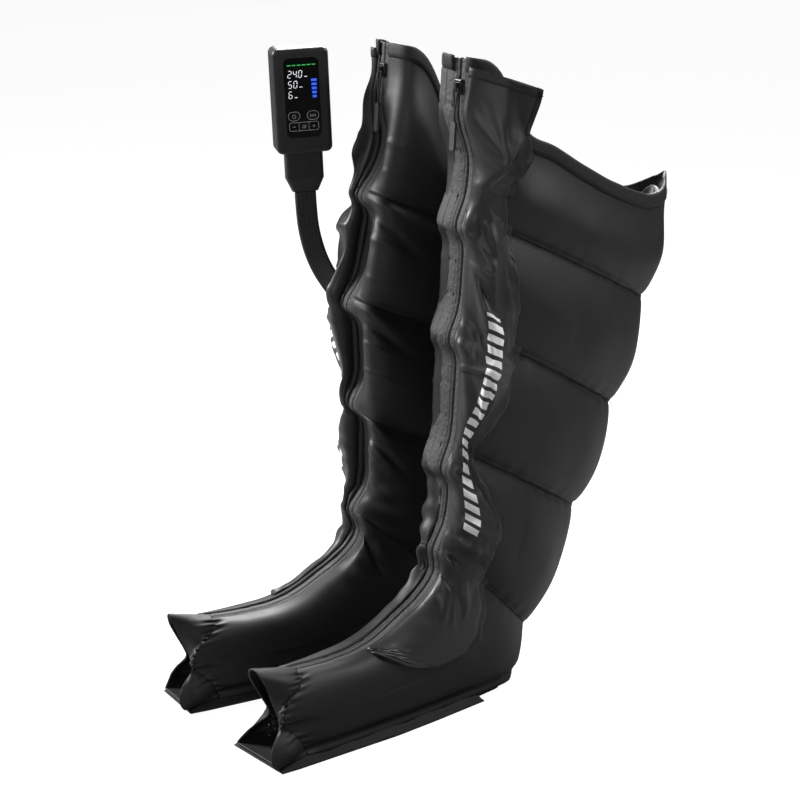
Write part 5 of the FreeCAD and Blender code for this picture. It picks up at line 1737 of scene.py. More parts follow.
@dataclass
class FrontZip:
    """Zip down the front of one sleeve, which follows its skin: two tapes and the coil, in millimetres."""

    side: Side
    skin: PuffedSkin
    # Tapes: half width, thickness, distance of rows, and rows of place across and depth, plain and broad.
    outer: float = 19.0
    thickness: float = 1.3
    row_step: float = 3.0
    profile: tuple[tuple[float, float, float, float], ...] = (
        (0.7, 2.6, 0.7, 2.6), (1.6, 0.1, 1.6, 0.1), (3.2, -0.35, 3.2, -0.35), (8.0, -0.1, 8.0, -0.6),
        (11.0, 0.2, 13.0, -1.7), (14.0, 0.7, 24.0, 0.7), (17.0, 1.5, 36.0, 3.5), (19.0, 2.4, 45.0, 8.5))
    # Their unevenness and puckers: wave length or pitch, height, half width, and how they stray.
    ripple: Span = (48.0, 0.5)
    notch: Point = (1.3, 47.0, 2.6)
    notch_stray: Point = (9.0, 37.0, 20.0)
    # Rows of stitches, as place across and depth; the last is the broad tape's.
    stitch_rows: tuple[Span, ...] = ((9.0, -0.2), (-6.0, -0.7), (-26.0, 1.1))
    stitch_pitch: float = 3.0
    line_step: float = 2.0
    # Loops of the coil: pitch, half length and half width, places across and depth.
    tooth_pitch: float = 2.1
    tooth_size: Span = (1.5, 0.82)
    tooth_rows: Span = (-1.2, 1.2)
    tooth_depth: float = 1.5

    def line(self, distance: Array, out: Union[Array, float], offset: Union[Array, float]) -> Array:
        """Places on the zip's face.

        Args:
            distance: Distance down the front line.
            out: Place across.
            offset: Depth behind the face.

        Returns:
            Places in millimetres, in the sleeve's frame.
        """
        flat = np.broadcast_arrays(np.asarray(distance, float), np.asarray(out, float), np.asarray(offset, float))
        shape = flat[0].shape
        distance, out, offset = (a.ravel() for a in flat)
        back = self.skin.zip_back(distance)
        places = np.zeros((len(distance), 3))
        for index, value in enumerate(distance):
            place, way = FORM.front(float(value))
            place = place + FORM.inward(way) * (back[index] + offset[index])
            places[index] = (out[index], place[0], place[1])
        return places.reshape(*shape, 3)

    def build(self) -> None:
        """Build and dress the tapes, their stitching and the coil."""
        self.tapes()
        fine = np.arange(1.0, FORM.front_length, self.line_step)
        *plain, broad = self.stitch_rows
        rows = [self.line(fine, *row) for row in plain]
        if self.skin.placket:
            rows.append(self.line(fine[fine < FORM.placket_end[0]], *broad))
        lines = [STANCE.row(row, self.side) for row in rows]
        stitches(self.side.named("tape_stitches"), lines, "sleeves", self.stitch_pitch)
        loops = [STANCE.row(self.line(fine, out, self.tooth_depth), self.side) for out in self.tooth_rows]
        made = Copies.LOOPS.along(self.side.named("zip_teeth"), loops, self.tooth_pitch, *self.tooth_size)
        dress(made, Finish.COIL, "sleeves", [self.side.named("zipper_coil")])

    def tapes(self) -> None:
        """Two tapes as one piece, the inner one broad where the placket lies flat."""
        distance = np.arange(1.5, FORM.front_length - 2.0, self.row_step)[:, None]
        share = self.skin.placket * FORM.wide(distance) / FORM.placket
        half, edge, broad, broad_edge = np.array(self.profile).T
        plain = np.ones_like(share)
        out = np.concatenate([-lerp(half, broad, share)[:, ::-1], half * plain], axis=1)
        edge = np.concatenate([lerp(edge, broad_edge, share)[:, ::-1], edge * plain], axis=1)
        length, height = self.ripple
        (depth, pitch, width), (stray, stray_length, first) = self.notch, self.notch_stray
        ripple = Ripple(self.skin.seed + 41, length).at(distance, out * 0.4)
        notch = hump((distance + stray * np.sin(distance / stray_length)) % pitch - first, width)
        lift = edge + (height * ripple + depth * notch) * np.minimum(np.abs(out) / self.outer, 1.0)
        face, back = (self.line(distance, out, lift + behind) for behind in (0.0, self.thickness))
        made = shell(self.side.named("zip_tapes"), self.side, face, back)
        dress(made, Finish.TAPE, "sleeves", [self.side.named("zipper_tape")])


# The loose gusset

# The cloth is moved at ten times its size; these are Blender's own settings for it.
CLOTH_SETTINGS = {
    "quality": 8, "mass": 0.3, "tension_stiffness": 22.0, "compression_stiffness": 22.0, "shear_stiffness": 8.0,
    "bending_stiffness": 0.5, "tension_damping": 10.0, "compression_damping": 10.0, "bending_damping": 1.0,
    "air_damping": 5.0, "shrink_min": 0.0, "vertex_group_shrink": "loose", "vertex_group_mass": "held",
}
CLOTH_COLLISION = {
    "use_collision": True, "collision_quality": 3, "distance_min": 0.012, "use_self_collision": True,
    "self_distance_min": 0.012,
}
SKIN_COLLISION = {"thickness_outer": 0.01, "thickness_inner": 0.2, "cloth_friction": 8.0}


@dataclass
class LooseGusset:
    """Loose cover from the zip to the outer flank, with its folded flap, hem and stitched seam.

    Attributes:
        side: Which sleeve.
        skin: The sleeve's skin, under the gusset.
        seed: Seed of the folds.
        skew: How near to the zip the cloth stands out, below 1 nearer.
        extra: How much more it stands out along the leg, in millimetres.
        print_scale: How much nearer to the zip the print lies.
    """

    side: Side
    skin: PuffedSkin
    seed: int
    skew: float = 0.75
    extra: float = 0.0
    print_scale: float = 1.0
    # Cloth: share of spare cloth, distance of points, scale, steps and gravity of its moves, thickness.
    spare: float = 0.18
    step: float = 4.0
    scale: float = 10.0
    frames: int = 30
    weight: float = 0.25
    thickness: float = 1.0
    hem_half: float = 1.1
    # Distances down the zip or from it, and how far the flap stands off.
    top: float = 11.0
    seam: float = 5.0
    fold_start: float = 70.0
    fold_end: float = 168.0
    flare: float = 44.0
    corner_up: float = 6.0
    # Place from which the outer edge is sewn down, share of the width that is loose, and the extra's spans.
    sewn: float = 0.76
    band: float = 0.86
    extra_spans: tuple[Span, Span] = ((0.9, 0.5), (3.5, 0.6))
    # Places down the sleeve, with the gusset's width and how far it stands off.
    places_down: tuple[float, ...] = (
        0.0, 0.3, 0.6, 0.8, 1.0, 1.4, 1.75, 2.0, 2.25, 2.5, 2.75, 2.95, 3.1, 3.3, 3.5, 3.7, 4.0, 4.12, 4.22, 4.32,
        4.42, 4.5, 4.57)
    widths: tuple[float, ...] = (
        78.0, 76.0, 66.0, 60.0, 70.0, 92.0, 97.0, 98.0, 96.0, 84.0, 56.0, 34.0, 40.0, 78.0, 98.0, 92.0, 84.0, 98.0,
        110.0, 112.0, 90.0, 52.0, 8.0)
    lifts: tuple[float, ...] = (
        7.0, 8.0, 8.0, 9.0, 12.0, 17.0, 22.0, 33.0, 35.0, 27.0, 14.0, 8.0, 8.0, 10.0, 12.0, 11.0, 9.0, 8.0, 7.0, 5.0,
        3.0, 1.5, 0.3)
    # Places down the sleeve, with the share of the spare cloth.
    loose_at: tuple[float, ...] = (0.0, 0.8, 1.1, 2.7, 3.3, 4.0, 4.15, 4.6)
    loose: tuple[float, ...] = (0.15, 0.3, 1.0, 1.0, 0.8, 0.7, 0.3, 0.2)

    def width(self, place: Array) -> Array:
        """Width of the gusset at a place down the sleeve."""
        return np.interp(place, self.places_down, self.widths)

    def flank(self, place: Array, away: Array, lift: Array) -> Array:
        """Places over the outer flank.

        Args:
            place: Places down the sleeve.
            away: Distance round from the zip's edge.
            lift: Height over the skin.

        Returns:
            Places in millimetres, in the sleeve's frame, shape of the inputs plus 3.
        """
        count = FORM.columns // 2
        grid = np.repeat(place[:, :1], FORM.columns, axis=1)
        points = self.skin.at(np.clip(grid, 0.0, 4.9999), 0.6)[:, :count]
        normal = FORM.look_up(FORM.table[1], grid)[:, :count]
        run = run_along(points)
        out = np.zeros((*away.shape, 3))
        for row in range(len(points)):
            for axis in range(3):
                at = np.interp(away[row], run[row], points[row, :, axis])
                way = np.interp(away[row], run[row], normal[row, :, axis])
                out[row, :, axis] = at + way * lift[row]
        return out

    def grid(self) -> tuple[Array, Array, Array]:
        """Start of the cloth: its points, their places down the sleeve and their share of the way across."""
        end = float(self.skin.distance(np.array([self.places_down[-1]]))[0])
        rows = int((end - self.top) / self.step) + 1
        columns = int(max(self.widths) / self.step) + 3
        dense = np.linspace(0.0, TOE_AT, 801)
        down = np.linspace(self.top, end, rows)[:, None]
        place = np.interp(down, self.skin.distance(dense), dense)
        across = np.linspace(0.0, 1.0, columns)[None, :]
        places, down, across = np.broadcast_arrays(place, down, across)
        away = self.seam + across * self.width(places)
        loose = np.sin(np.pi * np.clip(across / self.band, 0.0, 1.0) ** self.skew)
        grows, fades = self.extra_spans
        extra = self.extra * rise(places, *grows) * (1.0 - rise(places, *fades))
        extra = extra * (0.5 + self.skin.recess(down) / 16.0)
        folds = 3.5 * Ripple(self.seed, 62.0).at(away, down)
        lift = 1.6 + loose * (np.interp(places, self.places_down, self.lifts) + extra + folds)
        points = self.flank(places, away, np.maximum(lift, 1.2) + self.flap(down, across, self.width(places)))
        points[..., 2] += self.corner_up * self.fold(down) * ease(across)
        return points, places, across

    def fold(self, down: Array) -> Array:
        """Share across at which the flap's fold lies, at a distance down the zip."""
        return 1.0 - np.clip((down - self.fold_start) / (self.fold_end - self.fold_start), 0.0, 1.0)

    def flap(self, down: Array, across: Array, width: Array) -> Array:
        """How far the folded flap stands off the flank.

        Args:
            down: Distance down the zip.
            across: Share of the way across.
            width: Width of the gusset.

        Returns:
            Heights in millimetres.
        """
        fold = self.fold(down)
        crest = self.flare * fold ** 0.8 * lerp(1.0, 0.72, rise(down, self.top, self.fold_start - self.top))
        above = crest * np.clip(across / np.maximum(fold, 0.02), 0.0, 1.0) ** 1.35
        below = crest * hump((across - fold) * width, 6.0)
        return np.where(down > self.fold_end, 0.0, np.where(across < fold, above, below))

    def pinned(self, places: Array, across: Array) -> Array:
        """Which points are sewn down or held by a stiff hem.

        Args:
            places: Places down the sleeve.
            across: Share of the way across.

        Returns:
            True where a point is held.
        """
        down = self.skin.distance(places)
        sewn = (across > self.band) & (places > self.sewn)
        hem = (down < self.top + 9.0) | ((across > 0.9) & (down < self.fold_start + 4.0))
        crest = (np.abs(across - self.fold(down)) * self.width(places) < 3.0) & (np.abs(down - 112.0) < 42.0)
        return (across < 0.01) | sewn | hem | crest | (places > self.places_down[-1] - TINY)

    def spare_share(self, places: Array, across: Array) -> Array:
        """Where the cloth is loose, from 0 to 1."""
        return np.interp(places, self.loose_at, self.loose) * (1.0 - 0.6 * ease(across / 0.8))

    def build(self) -> None:
        """Build, drape and dress the gusset, its hem and its stitching."""
        draped, places, across = self.grid()
        draped = self.drape(draped, self.pinned(places, across), self.spare_share(places, across))
        rows, columns, _ = draped.shape
        faces = [face[::-self.side.value] for face in grid_faces(rows, columns)]
        unfolded = np.stack([across * self.print_scale, self.skin.distance(places) * MM], axis=2).reshape(-1, 2)
        points = STANCE.row(draped.reshape(-1, 3), self.side)
        made = mesh_object(self.side.named("gusset_cloth"), points, faces, unfolded, False)
        set_all(made.modifiers.new("smooth", "SUBSURF"), {"levels": 1, "render_levels": 1})
        set_all(made.modifiers.new("thickness", "SOLIDIFY"), {"thickness": self.thickness * MM, "offset": 0.0})
        apply_modifiers(made)
        dress(made, Finish.GUSSET, "sleeves", [self.side.named("gusset_panel")])
        self.hem(draped)

    def hem(self, draped: Array) -> list[bpy.types.Object]:
        """Doubled hem round the flap and rows of stitches inside the sewn edge and along the top.

        Args:
            draped: Points of the cloth.

        Returns:
            The two pieces of the hem.
        """
        made = []
        normal = unit(np.cross(np.gradient(draped, axis=0), np.gradient(draped, axis=1)), TINY)
        flap_rows = int((self.fold_start - self.top) / self.step) + 2
        for name, rows, columns in (
            ("flap_hem", slice(0, 4), slice(0, None)), ("flap_edge", slice(0, flap_rows), slice(-3, None)),
        ):
            skin, way = draped[rows, columns], normal[rows, columns] * self.hem_half
            piece = shell(self.side.named(name), self.side, skin + way, skin - way)
            made.append(dress(piece, Finish.HEM, "sleeves"))
        columns = [(draped[:, column], normal[:, column], 0.6) for column in (-2, -3)]
        lines = [at + way * sign * off for at, way, off in (*columns, (draped[2], normal[2], 1.2)) for sign in (1, -1)]
        stitches(self.side.named("gusset_stitches"), [STANCE.row(line, self.side) for line in lines], "sleeves")
        return made

    def drape(self, points: Array, held: Array, loose: Array) -> Array:
        """Let the spare cloth crumple between its seams.

        Args:
            points: Start of the cloth in millimetres.
            held: Whether each point is held.
            loose: Share of the spare cloth at each point.

        Returns:
            The crumpled cloth in millimetres.
        """
        scene = bpy.context.scene
        size = self.scale * MM
        rows, columns, _ = points.shape
        faces = [face[::-1] for face in grid_faces(rows, columns)]
        cloth = mesh_object("cloth", points.reshape(-1, 3) * size, faces, None, False)
        for name, weights in (("held", held), ("loose", loose)):
            group = cloth.vertex_groups.new(name=name)
            for index, weight in enumerate(weights.ravel()):
                group.add([index], float(weight), "REPLACE")
        under = self.under(size)
        modifier = cloth.modifiers.new("cloth", "CLOTH")
        set_all(modifier.settings, {**CLOTH_SETTINGS, "shrink_max": -self.spare})
        modifier.settings.effector_weights.gravity = self.weight
        set_all(modifier.collision_settings, CLOTH_COLLISION)
        set_all(modifier.point_cache, {"frame_start": 1, "frame_end": self.frames})
        for frame in range(1, self.frames + 1):
            scene.frame_set(frame)
        moved_cloth = cloth.evaluated_get(bpy.context.evaluated_depsgraph_get())
        mesh = moved_cloth.to_mesh()
        moved = np.zeros(len(mesh.vertices) * 3, np.float32)
        mesh.vertices.foreach_get("co", moved)
        moved_cloth.to_mesh_clear()
        bpy.data.objects.remove(cloth)
        bpy.data.objects.remove(under)
        scene.frame_set(1)
        return moved.reshape(rows, columns, 3).astype(float) / size

    def under(self, size: float) -> bpy.types.Object:
        """Outer flank of the sleeve and its inlet at a scale, for the cloth to lie against."""
        count = FORM.columns // 2
        share = np.linspace(0.0, 1.0, 150)[:, None]
        points = self.skin.at(lerp(self.skin.scoop[None, :], 4.9, share))[:, :count]
        faces = [face[::-1] for face in grid_faces(len(share), count)]
        inlet = bpy.data.objects[self.side.named("inlet_manifold")].data
        first = points.shape[0] * points.shape[1]
        faces += [tuple(i + first for i in face.vertices)[:: self.side.value] for face in inlet.polygons]
        block = STANCE.sleeve(np.array([corner.co for corner in inlet.vertices]), self.side)
        made = mesh_object("under", np.concatenate([points.reshape(-1, 3), block]) * size, faces, None, False)
        made.modifiers.new("hit", "COLLISION")
        set_all(made.collision, SKIN_COLLISION)
        return made


def apply_modifiers(made: bpy.types.Object) -> None:
    """Put a piece's modifiers into its mesh."""
    mesh = final_mesh(made)
    made.modifiers.clear()
    old = made.data
    made.data = mesh
    bpy.data.meshes.remove(old)


# The hose and the controller


@dataclass(frozen=True)
class HoseRoute:
    """Route of the flat hose from the controller's plug to the right sleeve. Sizes are in millimetres.

    Attributes:
        top: Where the hose leaves the plug.
        face_deg: Turn of its broad face about the vertical.
        drops: Points of the route, as how far across and how far down.
        width: Width of the hose.
        thickness: Its thickness.
        twist_deg: How far it is twisted at the sleeve.
        plug_length: Length of the plug.
    """

    top: Point = (-172.0, -93.0, 623.2)
    face_deg: float = 66.0
    drops: tuple[Span, ...] = (
        (0.0, 0.0), (1.4, 35.0), (7.0, 68.0), (17.5, 99.0), (33.0, 126.0), (50.0, 148.0), (69.0, 164.0))
    width: float = 28.0
    thickness: float = 9.0
    twist_deg: float = 26.0
    plug_length: float = 52.0

    @property
    def facing(self) -> Array:
        """Way that the hose's broad face looks."""
        turn = math.radians(self.face_deg)
        return np.array([math.sin(turn), -math.cos(turn), 0.0])

    @property
    def across(self) -> Array:
        """Way across the hose in the plane of its route."""
        return np.array([-self.facing[1], self.facing[0], 0.0])

    @cached_property
    def points(self) -> Array:
        """Points of the route in metres, from the plug down."""
        start = np.array(self.top) + np.array(STANCE.shift)
        return np.array([start + self.across * a - np.array([0.0, 0.0, d]) for a, d in self.drops]) * MM

    @property
    def plug_way(self) -> Array:
        """Way up out of the hose, into the controller."""
        way = self.points[0] - self.points[1]
        return way / np.linalg.norm(way)


@dataclass
class FlatHose:
    """Flat hose with air ways that show as low flutes on its broad faces.

    Attributes:
        route: Where it goes.
        flutes: How many air ways.
        flute_depth: Depth of the grooves between them in millimetres.
        edge: Half length of the rounded edge in millimetres.
        untwisted: Share of its length after which it is no longer twisted.
    """

    route: HoseRoute
    flutes: int = 5
    flute_depth: float = 0.12
    edge: float = 3.4
    untwisted: float = 0.8

    def centre_line(self) -> Array:
        """Points of a smooth line through the route in metres, from the sleeve up to the plug."""
        guide = curve_object("hose_line", [self.route.points[::-1]], "NURBS")
        set_all(guide.data.splines[0], {"order_u": 3, "use_endpoint_u": True})
        guide.data.resolution_u = 14
        mesh = final_mesh(guide)
        line = np.array([v.co for v in mesh.vertices])
        bpy.data.objects.remove(guide)
        bpy.data.meshes.remove(mesh)
        return line

    def section(self) -> Array:
        """Outline of the hose in millimetres, across and through."""
        half, thick, edge = self.route.width / 2.0, self.route.thickness / 2.0, self.edge
        x = np.linspace(-half + edge, half - edge, 31)
        groove = self.flute_depth * (0.5 - 0.5 * np.cos(x / self.route.width * self.flutes * math.tau)) ** 3
        upper = np.stack([x, thick - groove], axis=1)
        bend = np.linspace(math.pi / 2.0, -math.pi / 2.0, 13)[1:-1]
        corner = np.stack([half - edge + edge * np.cos(bend), thick * np.sin(bend)], axis=1)
        right = np.concatenate([upper, corner])
        return np.concatenate([right, -right])

    def build(self) -> None:
        """Build, dress and declare the hose."""
        line = self.centre_line()
        step = run_along(line)
        way = unit(np.gradient(line, axis=0))
        side = unit(np.cross(way, self.route.facing))
        face = np.cross(side, way)
        turn = np.radians(self.route.twist_deg) * (1.0 - ease(step / step[-1] / self.untwisted))
        across = side * np.cos(turn)[:, None] + face * np.sin(turn)[:, None]
        through = face * np.cos(turn)[:, None] - side * np.sin(turn)[:, None]
        outline = self.section() * MM
        grid = line[:, None] + across[:, None] * outline[None, :, :1] + through[:, None] * outline[None, :, 1:]
        made = mesh_object("air_hose", grid.reshape(-1, 3), tube_faces(*grid.shape[:2]))
        dress(made, Finish.HOSE, "sleeves", ["hose"])


@dataclass(frozen=True)
class Bar:
    """Bar of a mark, in millimetres: its middle, its size and how far it leans for each millimetre up."""

    x: float
    z: float
    width: float
    height: float
    lean: float = 0.0

    def outline(self) -> list[Span]:
        """Corners of the bar."""
        w, h = self.width / 2.0, self.height / 2.0
        lean = self.lean * h
        return [
            (self.x - w - lean, self.z - h), (self.x + w - lean, self.z - h),
            (self.x + w + lean, self.z + h), (self.x - w + lean, self.z + h),
        ]


@dataclass
class Controller:
    """Hand-held controller: the packed pieces with their finishes, and the display's marks, in millimetres."""

    route: HoseRoute
    # Thickness of a mark, width of a symbol's lines and of the rims, and fronts of keys and window.
    lamp: float = 0.12
    line: float = 0.55
    rim: float = 0.6
    key_front: float = -20.5
    window_front: float = -19.9
    # Places of the right keys, across and up, and width, height and corner radius of the rims.
    round_key: Span = (12.15, 48.5)
    round_rim: Point = (14.6, 11.1, 5.2)
    row_key: Span = (12.6, 35.0)
    row_rim: Point = (37.6, 10.7, 2.8)
    # Rows of digits by height, and start, pitch, size and lean of the digits.
    digit_rows: tuple[tuple[float, tuple[int, ...]], ...] = ((97.5, (2, 4, 0)), (84.5, (5, 0)), (71.5, (6,)))
    digit_start: float = -17.6
    digit_step: float = 6.8
    digit_size: Span = (4.1, 8.6)
    digit_lean: float = 0.1

    def row(self, places: Array) -> Array:
        """Places of the controller in the frame of the packed solids.

        Args:
            places: Places across, back and up in millimetres, shape (..., 3).

        Returns:
            Places in metres, same shape.
        """
        up = self.route.plug_way
        back = -self.route.facing
        across = np.cross(back, up)
        start = self.route.points[0] + up * self.route.plug_length * MM
        places = np.asarray(places, float) * MM
        return start + places[..., :1] * across + places[..., 1:2] * back + places[..., 2:] * up

    def build(self, nodes: dict[str, bpy.types.Object]) -> None:
        """Dress the packed nodes and add the display's marks and the keys' symbols."""
        for finish, names in {
            Finish.CASE: ("front_housing", "rear_housing"),
            Finish.WINDOW: ("display_window",),
            Finish.KEY: ("power_key", "mode_key", "minus_key", "heat_key", "plus_key"),
            Finish.STEEL: ("housing_screws", "pump_motor", "pump_shaft", "solenoid_valves", "charge_port"),
            Finish.INNER: ("display_module", "pump_head", "valve_block", "outlet_socket"),
            Finish.BOARD: ("circuit_board",),
            Finish.CELL: ("battery_pack",),
            Finish.PLUG: ("hose_plug",),
        }.items():
            for name in names:
                paint(nodes[name], finish)
        self.lamps()
        self.symbols()

    def plate(self, bar: Bar, front: float) -> Part:
        """Thin plate of a bar, standing proud of a face.

        Args:
            bar: The bar.
            front: Place of the face.

        Returns:
            Points in millimetres and faces.
        """
        flat = np.array(bar.outline(), float)
        count = len(flat)
        both = [np.stack([flat[:, 0], np.full(count, y), flat[:, 1]], axis=1) for y in (front - self.lamp, front)]
        faces = [tuple(range(count)), tuple(range(2 * count - 1, count - 1, -1))]
        faces += [(i, i + count, (i + 1) % count + count, (i + 1) % count) for i in range(count)]
        return np.concatenate(both), faces

    def band(self, line: Array, width: float, front: float, closed: bool) -> Part:
        """Thin raised line, standing proud of a face.

        Args:
            line: Points across and up.
            width: Width of the line.
            front: Place of the face.
            closed: Whether the last point joins the first.

        Returns:
            Points in millimetres and faces.
        """
        way = np.gradient(line, axis=0)
        if closed:
            way = np.roll(line, -1, axis=0) - np.roll(line, 1, axis=0)
        way = unit(way)
        side = np.stack([-way[:, 1], way[:, 0]], axis=1) * width / 2.0
        count = len(line)
        sets = []
        for y in (front - self.lamp, front):
            for sign in (1.0, -1.0):
                flat = line + side * sign
                sets.append(np.stack([flat[:, 0], np.full(count, y), flat[:, 1]], axis=1))
        index = [[k * count + i for i in range(count)] + ([k * count] if closed else []) for k in range(4)]
        faces = []
        for one, other in ((0, 1), (1, 3), (3, 2), (2, 0)):
            faces += strip_faces(index[one], index[other])
        if not closed:
            for i in (0, count - 1):
                faces.append(tuple(index[k][i] for k in (0, 1, 3, 2)))
        return np.concatenate(sets), faces

    def digit(self, number: int, x: float, z: float) -> list[Part]:
        """Seven-segment digit.

        Args:
            number: The digit.
            x: Its left side.
            z: Its lower end.

        Returns:
            Points and faces of each segment.
        """
        lit = {0: "abcdef", 2: "abged", 4: "fgbc", 5: "afgcd", 6: "afgedc"}[number]
        width, height = self.digit_size
        thick, half = width * 0.2, height / 2.0
        places = {
            "a": (x + width / 2.0, z + height, True), "g": (x + width / 2.0, z + half, True),
            "d": (x + width / 2.0, z, True), "f": (x, z + 1.5 * half, False), "b": (x + width, z + 1.5 * half, False),
            "e": (x, z + half / 2.0, False), "c": (x + width, z + half / 2.0, False),
        }
        bars = []
        for px, pz, level in (places[segment] for segment in lit):
            px += self.digit_lean * (pz - z)
            if level:
                bars.append(Bar(px, pz, width - thick * 1.3, thick))
            else:
                bars.append(Bar(px, pz, thick, half - thick * 1.2, self.digit_lean))
        return [self.plate(bar, self.window_front) for bar in bars]

    def _piece(self, name: str, parts: list[Part], finish: Finish, body: str) -> None:
        """One piece of several plates.

        Args:
            name: Name of the piece.
            parts: Points in millimetres and faces of each plate.
            finish: Finish of the piece.
            body: Body that it rides on.
        """
        made = joined(name, [(self.row(points), faces) for points, faces in parts])
        dress(made, finish, body)

    def lamps(self) -> None:
        """Lit marks of the display: a row of dashes, three rows of digits and a column of bars."""
        face = self.window_front
        dashes = [self.plate(Bar(-15.6 + 6.3 * i, 113.0, 4.6, 1.0), face) for i in range(6)]
        self._piece("display_dashes", dashes, Finish.GREEN, "controller")
        digits: list[Part] = []
        for z, numbers in self.digit_rows:
            for index, number in enumerate(numbers):
                digits += self.digit(number, self.digit_start + self.digit_step * index, z)
            digits.append(self.plate(Bar(-15.0 + self.digit_step * len(numbers), z + 0.8, 3.6, 0.9), face))
        self._piece("display_digits", digits, Finish.WHITE, "controller")
        bars = [self.plate(Bar(15.6, 72.5 + 5.2 * i, 5.0 + 0.5 * i, 3.0), face) for i in range(5)]
        self._piece("display_bars", bars, Finish.BLUE, "controller")

    def symbols(self) -> None:
        """Printed rims round the keys and a symbol on each."""
        (round_x, round_z), (row_x, row_z) = self.round_key, self.row_key
        outlines = [self.rounded(x, round_z, *self.round_rim) for x in (-round_x, round_x)]
        outlines.append(self.rounded(0.0, row_z, *self.row_rim))
        rims = [self.band(outline, self.rim, self.window_front, True) for outline in outlines]
        for x in (-row_x / 2.0, row_x / 2.0):
            rims.append(self.plate(Bar(x, row_z, 0.45, 10.6), self.window_front))
        self._piece("key_rims", rims, Finish.PRINT, "controller")
        turn = np.radians(np.linspace(125.0, 415.0, 25))
        arc = np.stack([2.2 * np.cos(turn) - round_x, 2.2 * np.sin(turn) + round_z - 0.3], axis=1)
        up = np.linspace(-2.1, 2.1, 15)
        wave = np.stack([0.55 * np.sin(up * 1.8), row_z + up], axis=1)
        for name, lines, bars in (
            ("power", [arc], [Bar(-round_x, round_z + 1.6, self.line, 2.8)]),
            ("mode", [], [Bar(round_x + dx, round_z, 1.3, 3.0, 0.15) for dx in (-2.9, 0.0, 2.9)]),
            ("minus", [], [Bar(-row_x, row_z, 3.8, 0.7)]),
            ("plus", [], [Bar(row_x, row_z, 3.8, 0.7), *(Bar(row_x, row_z + dz, 0.7, 1.5) for dz in (1.35, -1.35))]),
            ("heat", [wave + np.array([dx, 0.0]) for dx in (-2.0, 0.0, 2.0)], []),
        ):
            parts = [self.band(line, self.line, self.key_front, False) for line in lines]
            parts += [self.plate(bar, self.key_front) for bar in bars]
            self._piece(f"{name}_symbol", parts, Finish.PRINT, f"{name}_key")

    @staticmethod
    def rounded(x: float, z: float, width: float, height: float, radius: float) -> Array:
        """Rounded rectangle.

        Args:
            x: Its middle across.
            z: Its middle up.
            width: Its width.
            height: Its height.
            radius: Radius of its corners.

        Returns:
            Points across and up.
        """
        points = []
        for sx, sz, start in ((1, 1, 0.0), (-1, 1, 90.0), (-1, -1, 180.0), (1, -1, 270.0)):
            for angle in np.radians(np.linspace(start, start + 90.0, 9)):
                points.append((x + sx * (width / 2.0 - radius) + radius * math.cos(angle),
                               z + sz * (height / 2.0 - radius) + radius * math.sin(angle)))
        return np.array(points)


# The stage


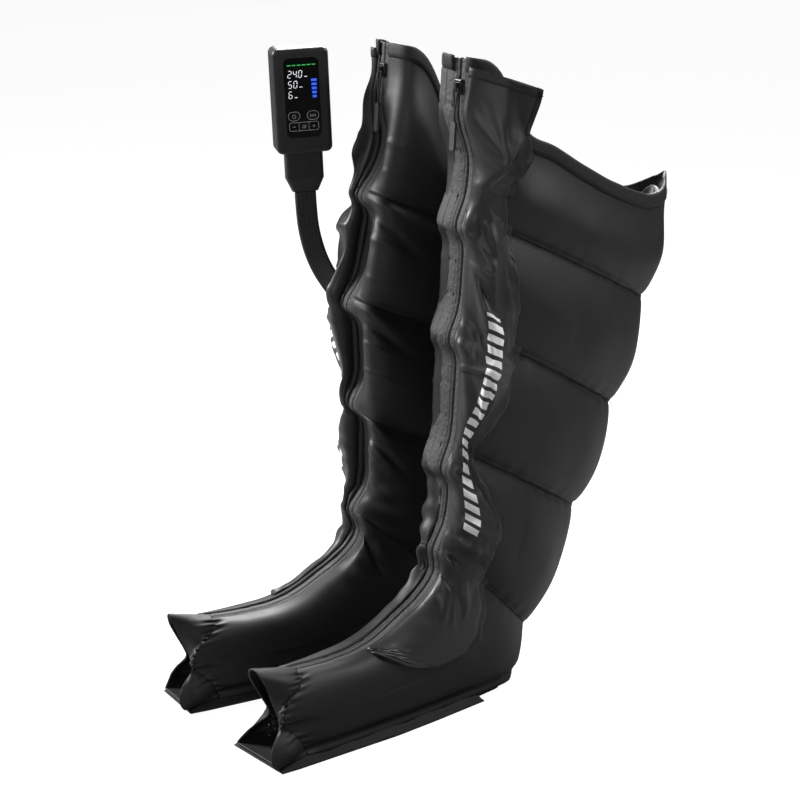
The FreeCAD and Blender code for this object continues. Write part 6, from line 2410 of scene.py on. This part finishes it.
@dataclass
class Studio:
    """Pale floor, soft lights and the camera.

    Attributes:
        eye: Place of the camera in metres.
        yaw_deg: Turn of the camera about the vertical.
        pitch_deg: How far it looks down.
        lens: Focal length in millimetres.
        sensor: Width of the camera's sensor in millimetres.
        target: Where the lamps look.
        discs: Place, diameter and power of each lamp, by name.
        paper: Colour of the floor and of the world behind it, to the camera.
        room: Colour of the world to everything else.
        matt: Colour of the floor to everything else.
        shadow: Colour by which the floor takes up light and shadow, to the camera.
        floor_half: Half the length of the floor.
    """

    eye: Point = (2.062, -1.5312, 1.192)
    yaw_deg: float = 54.0
    pitch_deg: float = 17.93
    lens: float = 93.5
    sensor: float = 36.0
    target: Point = (0.0, 0.0, 0.42)
    discs: tuple[tuple[str, Point, float, float], ...] = (
        ("key lamp", (-1.9, -1.5, 1.8), 1.1, 130.0),
        ("top lamp", (-1.0, 0.9, 1.85), 1.0, 100.0),
        ("side lamp", (1.7, 1.9, 1.4), 1.0, 7.0),
        ("back lamp", (-1.9, 1.6, 1.6), 1.4, 14.0),
        ("fill lamp", (2.0, -2.0, 1.5), 1.2, 15.0),
        ("over lamp", (0.6, 0.8, 1.6), 0.6, 14.0))
    paper: Colour = (0.95, 0.95, 0.95)
    room: Colour = (0.035, 0.0352, 0.036)
    matt: Colour = (0.25, 0.25, 0.25)
    shadow: Colour = (0.2, 0.2, 0.2)
    floor_half: float = 6.0

    def build(self) -> None:
        """Make the camera, the lights, the world and the floor."""
        self.camera()
        self.lamps()
        self.world()
        self.floor()
        bpy.context.scene.view_settings.view_transform = "Standard"

    def camera(self) -> None:
        """Camera at the photograph's angle."""
        data = bpy.data.cameras.new("camera")
        set_all(data, {"lens": self.lens, "sensor_width": self.sensor})
        made = placed("camera", data)
        made.location = self.eye
        made.rotation_euler = (math.radians(90.0 - self.pitch_deg), 0.0, math.radians(self.yaw_deg))
        bpy.context.scene.camera = made

    def lamps(self) -> None:
        """Large soft lamps: two strong ones from the front left and above, and four weak ones."""
        for name, place, size, power in self.discs:
            data = bpy.data.lights.new(name, "AREA")
            set_all(data, {"shape": "DISK", "size": size, "energy": power})
            made = placed(name, data)
            made.location = place
            made.rotation_euler = (Vector(self.target) - Vector(place)).to_track_quat("-Z", "Y").to_euler()

    def world(self) -> None:
        """White to the camera and a dim even grey to everything else."""
        world = bpy.data.worlds.new("studio")
        tree = Tree.of(world)
        room, paper = (tree.node("ShaderNodeBackground", {}, {"Color": tint}) for tint in (self.room, self.paper))
        self._by_ray(tree, room, paper, "ShaderNodeOutputWorld")
        bpy.context.scene.world = world

    def floor(self) -> None:
        """Pale floor that keeps a faint shadow."""
        far = self.floor_half
        corners = np.array([(-far, -far, 0.0), (far, -far, 0.0), (far, far, 0.0), (-far, far, 0.0)])
        made = mesh_object("floor", corners, [(0, 1, 2, 3)], None, False)
        material = bpy.data.materials.new("floor")
        tree = Tree.of(material)
        matt, shadow = (tree.node("ShaderNodeBsdfDiffuse", {}, {"Color": tint}) for tint in (self.matt, self.shadow))
        paper = tree.node("ShaderNodeEmission", {}, {"Color": self.paper, "Strength": 1.0})
        lit = tree.node("ShaderNodeAddShader", {}, {0: paper, 1: shadow})
        self._by_ray(tree, matt, lit, "ShaderNodeOutputMaterial")
        made.data.materials.append(material)

    @staticmethod
    def _by_ray(tree: Tree, plain: Value, seen: Value, output: str) -> None:
        """Finish a tree with one shader for what the camera sees and another for everything else.

        Args:
            tree: The tree.
            plain: Shader for everything else.
            seen: Shader for the camera.
            output: Type of the output node.
        """
        path = tree.node("ShaderNodeLightPath", {}, {})
        mixed = tree.node("ShaderNodeMixShader", {}, {0: path, 1: plain, 2: seen})
        tree.node(output, {}, {"Surface": mixed})


def main() -> None:
    """Build everything round the packed solids."""
    logging.basicConfig(level=logging.INFO, format="%(message)s")
    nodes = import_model()["nodes"]
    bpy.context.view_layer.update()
    Studio().build()
    route = HoseRoute()
    FlatHose(route).build()
    left = PuffedSkin(5)
    right = PuffedSkin(
        17, 38.0, 42.0, full=-1.0, tuck=0.42, placket=0.0, bump=1.0, drops=(9.0, 14.0, -6.0, 0.0))
    for side, skin, bulge in ((Side.LEFT, left, (0.75, 0.0, 1.0)), (Side.RIGHT, right, (0.55, 10.0, 2.2))):
        PaddedSleeve(side, skin).build()
        FrontZip(side, skin).build()
        LooseGusset(side, skin, skin.seed + 2, *bulge).build()
        for name, finish in (
            ("zip_slider", Finish.SLIDER), ("pull_cord", Finish.CORD), ("pull_tab", Finish.TAB),
            ("inlet_manifold", Finish.PLUG), ("air_lines", Finish.TUBE),
        ):
            paint(nodes[side.named(name)], finish)
    Controller(route).build(nodes)


if __name__ == "__main__":
    main()
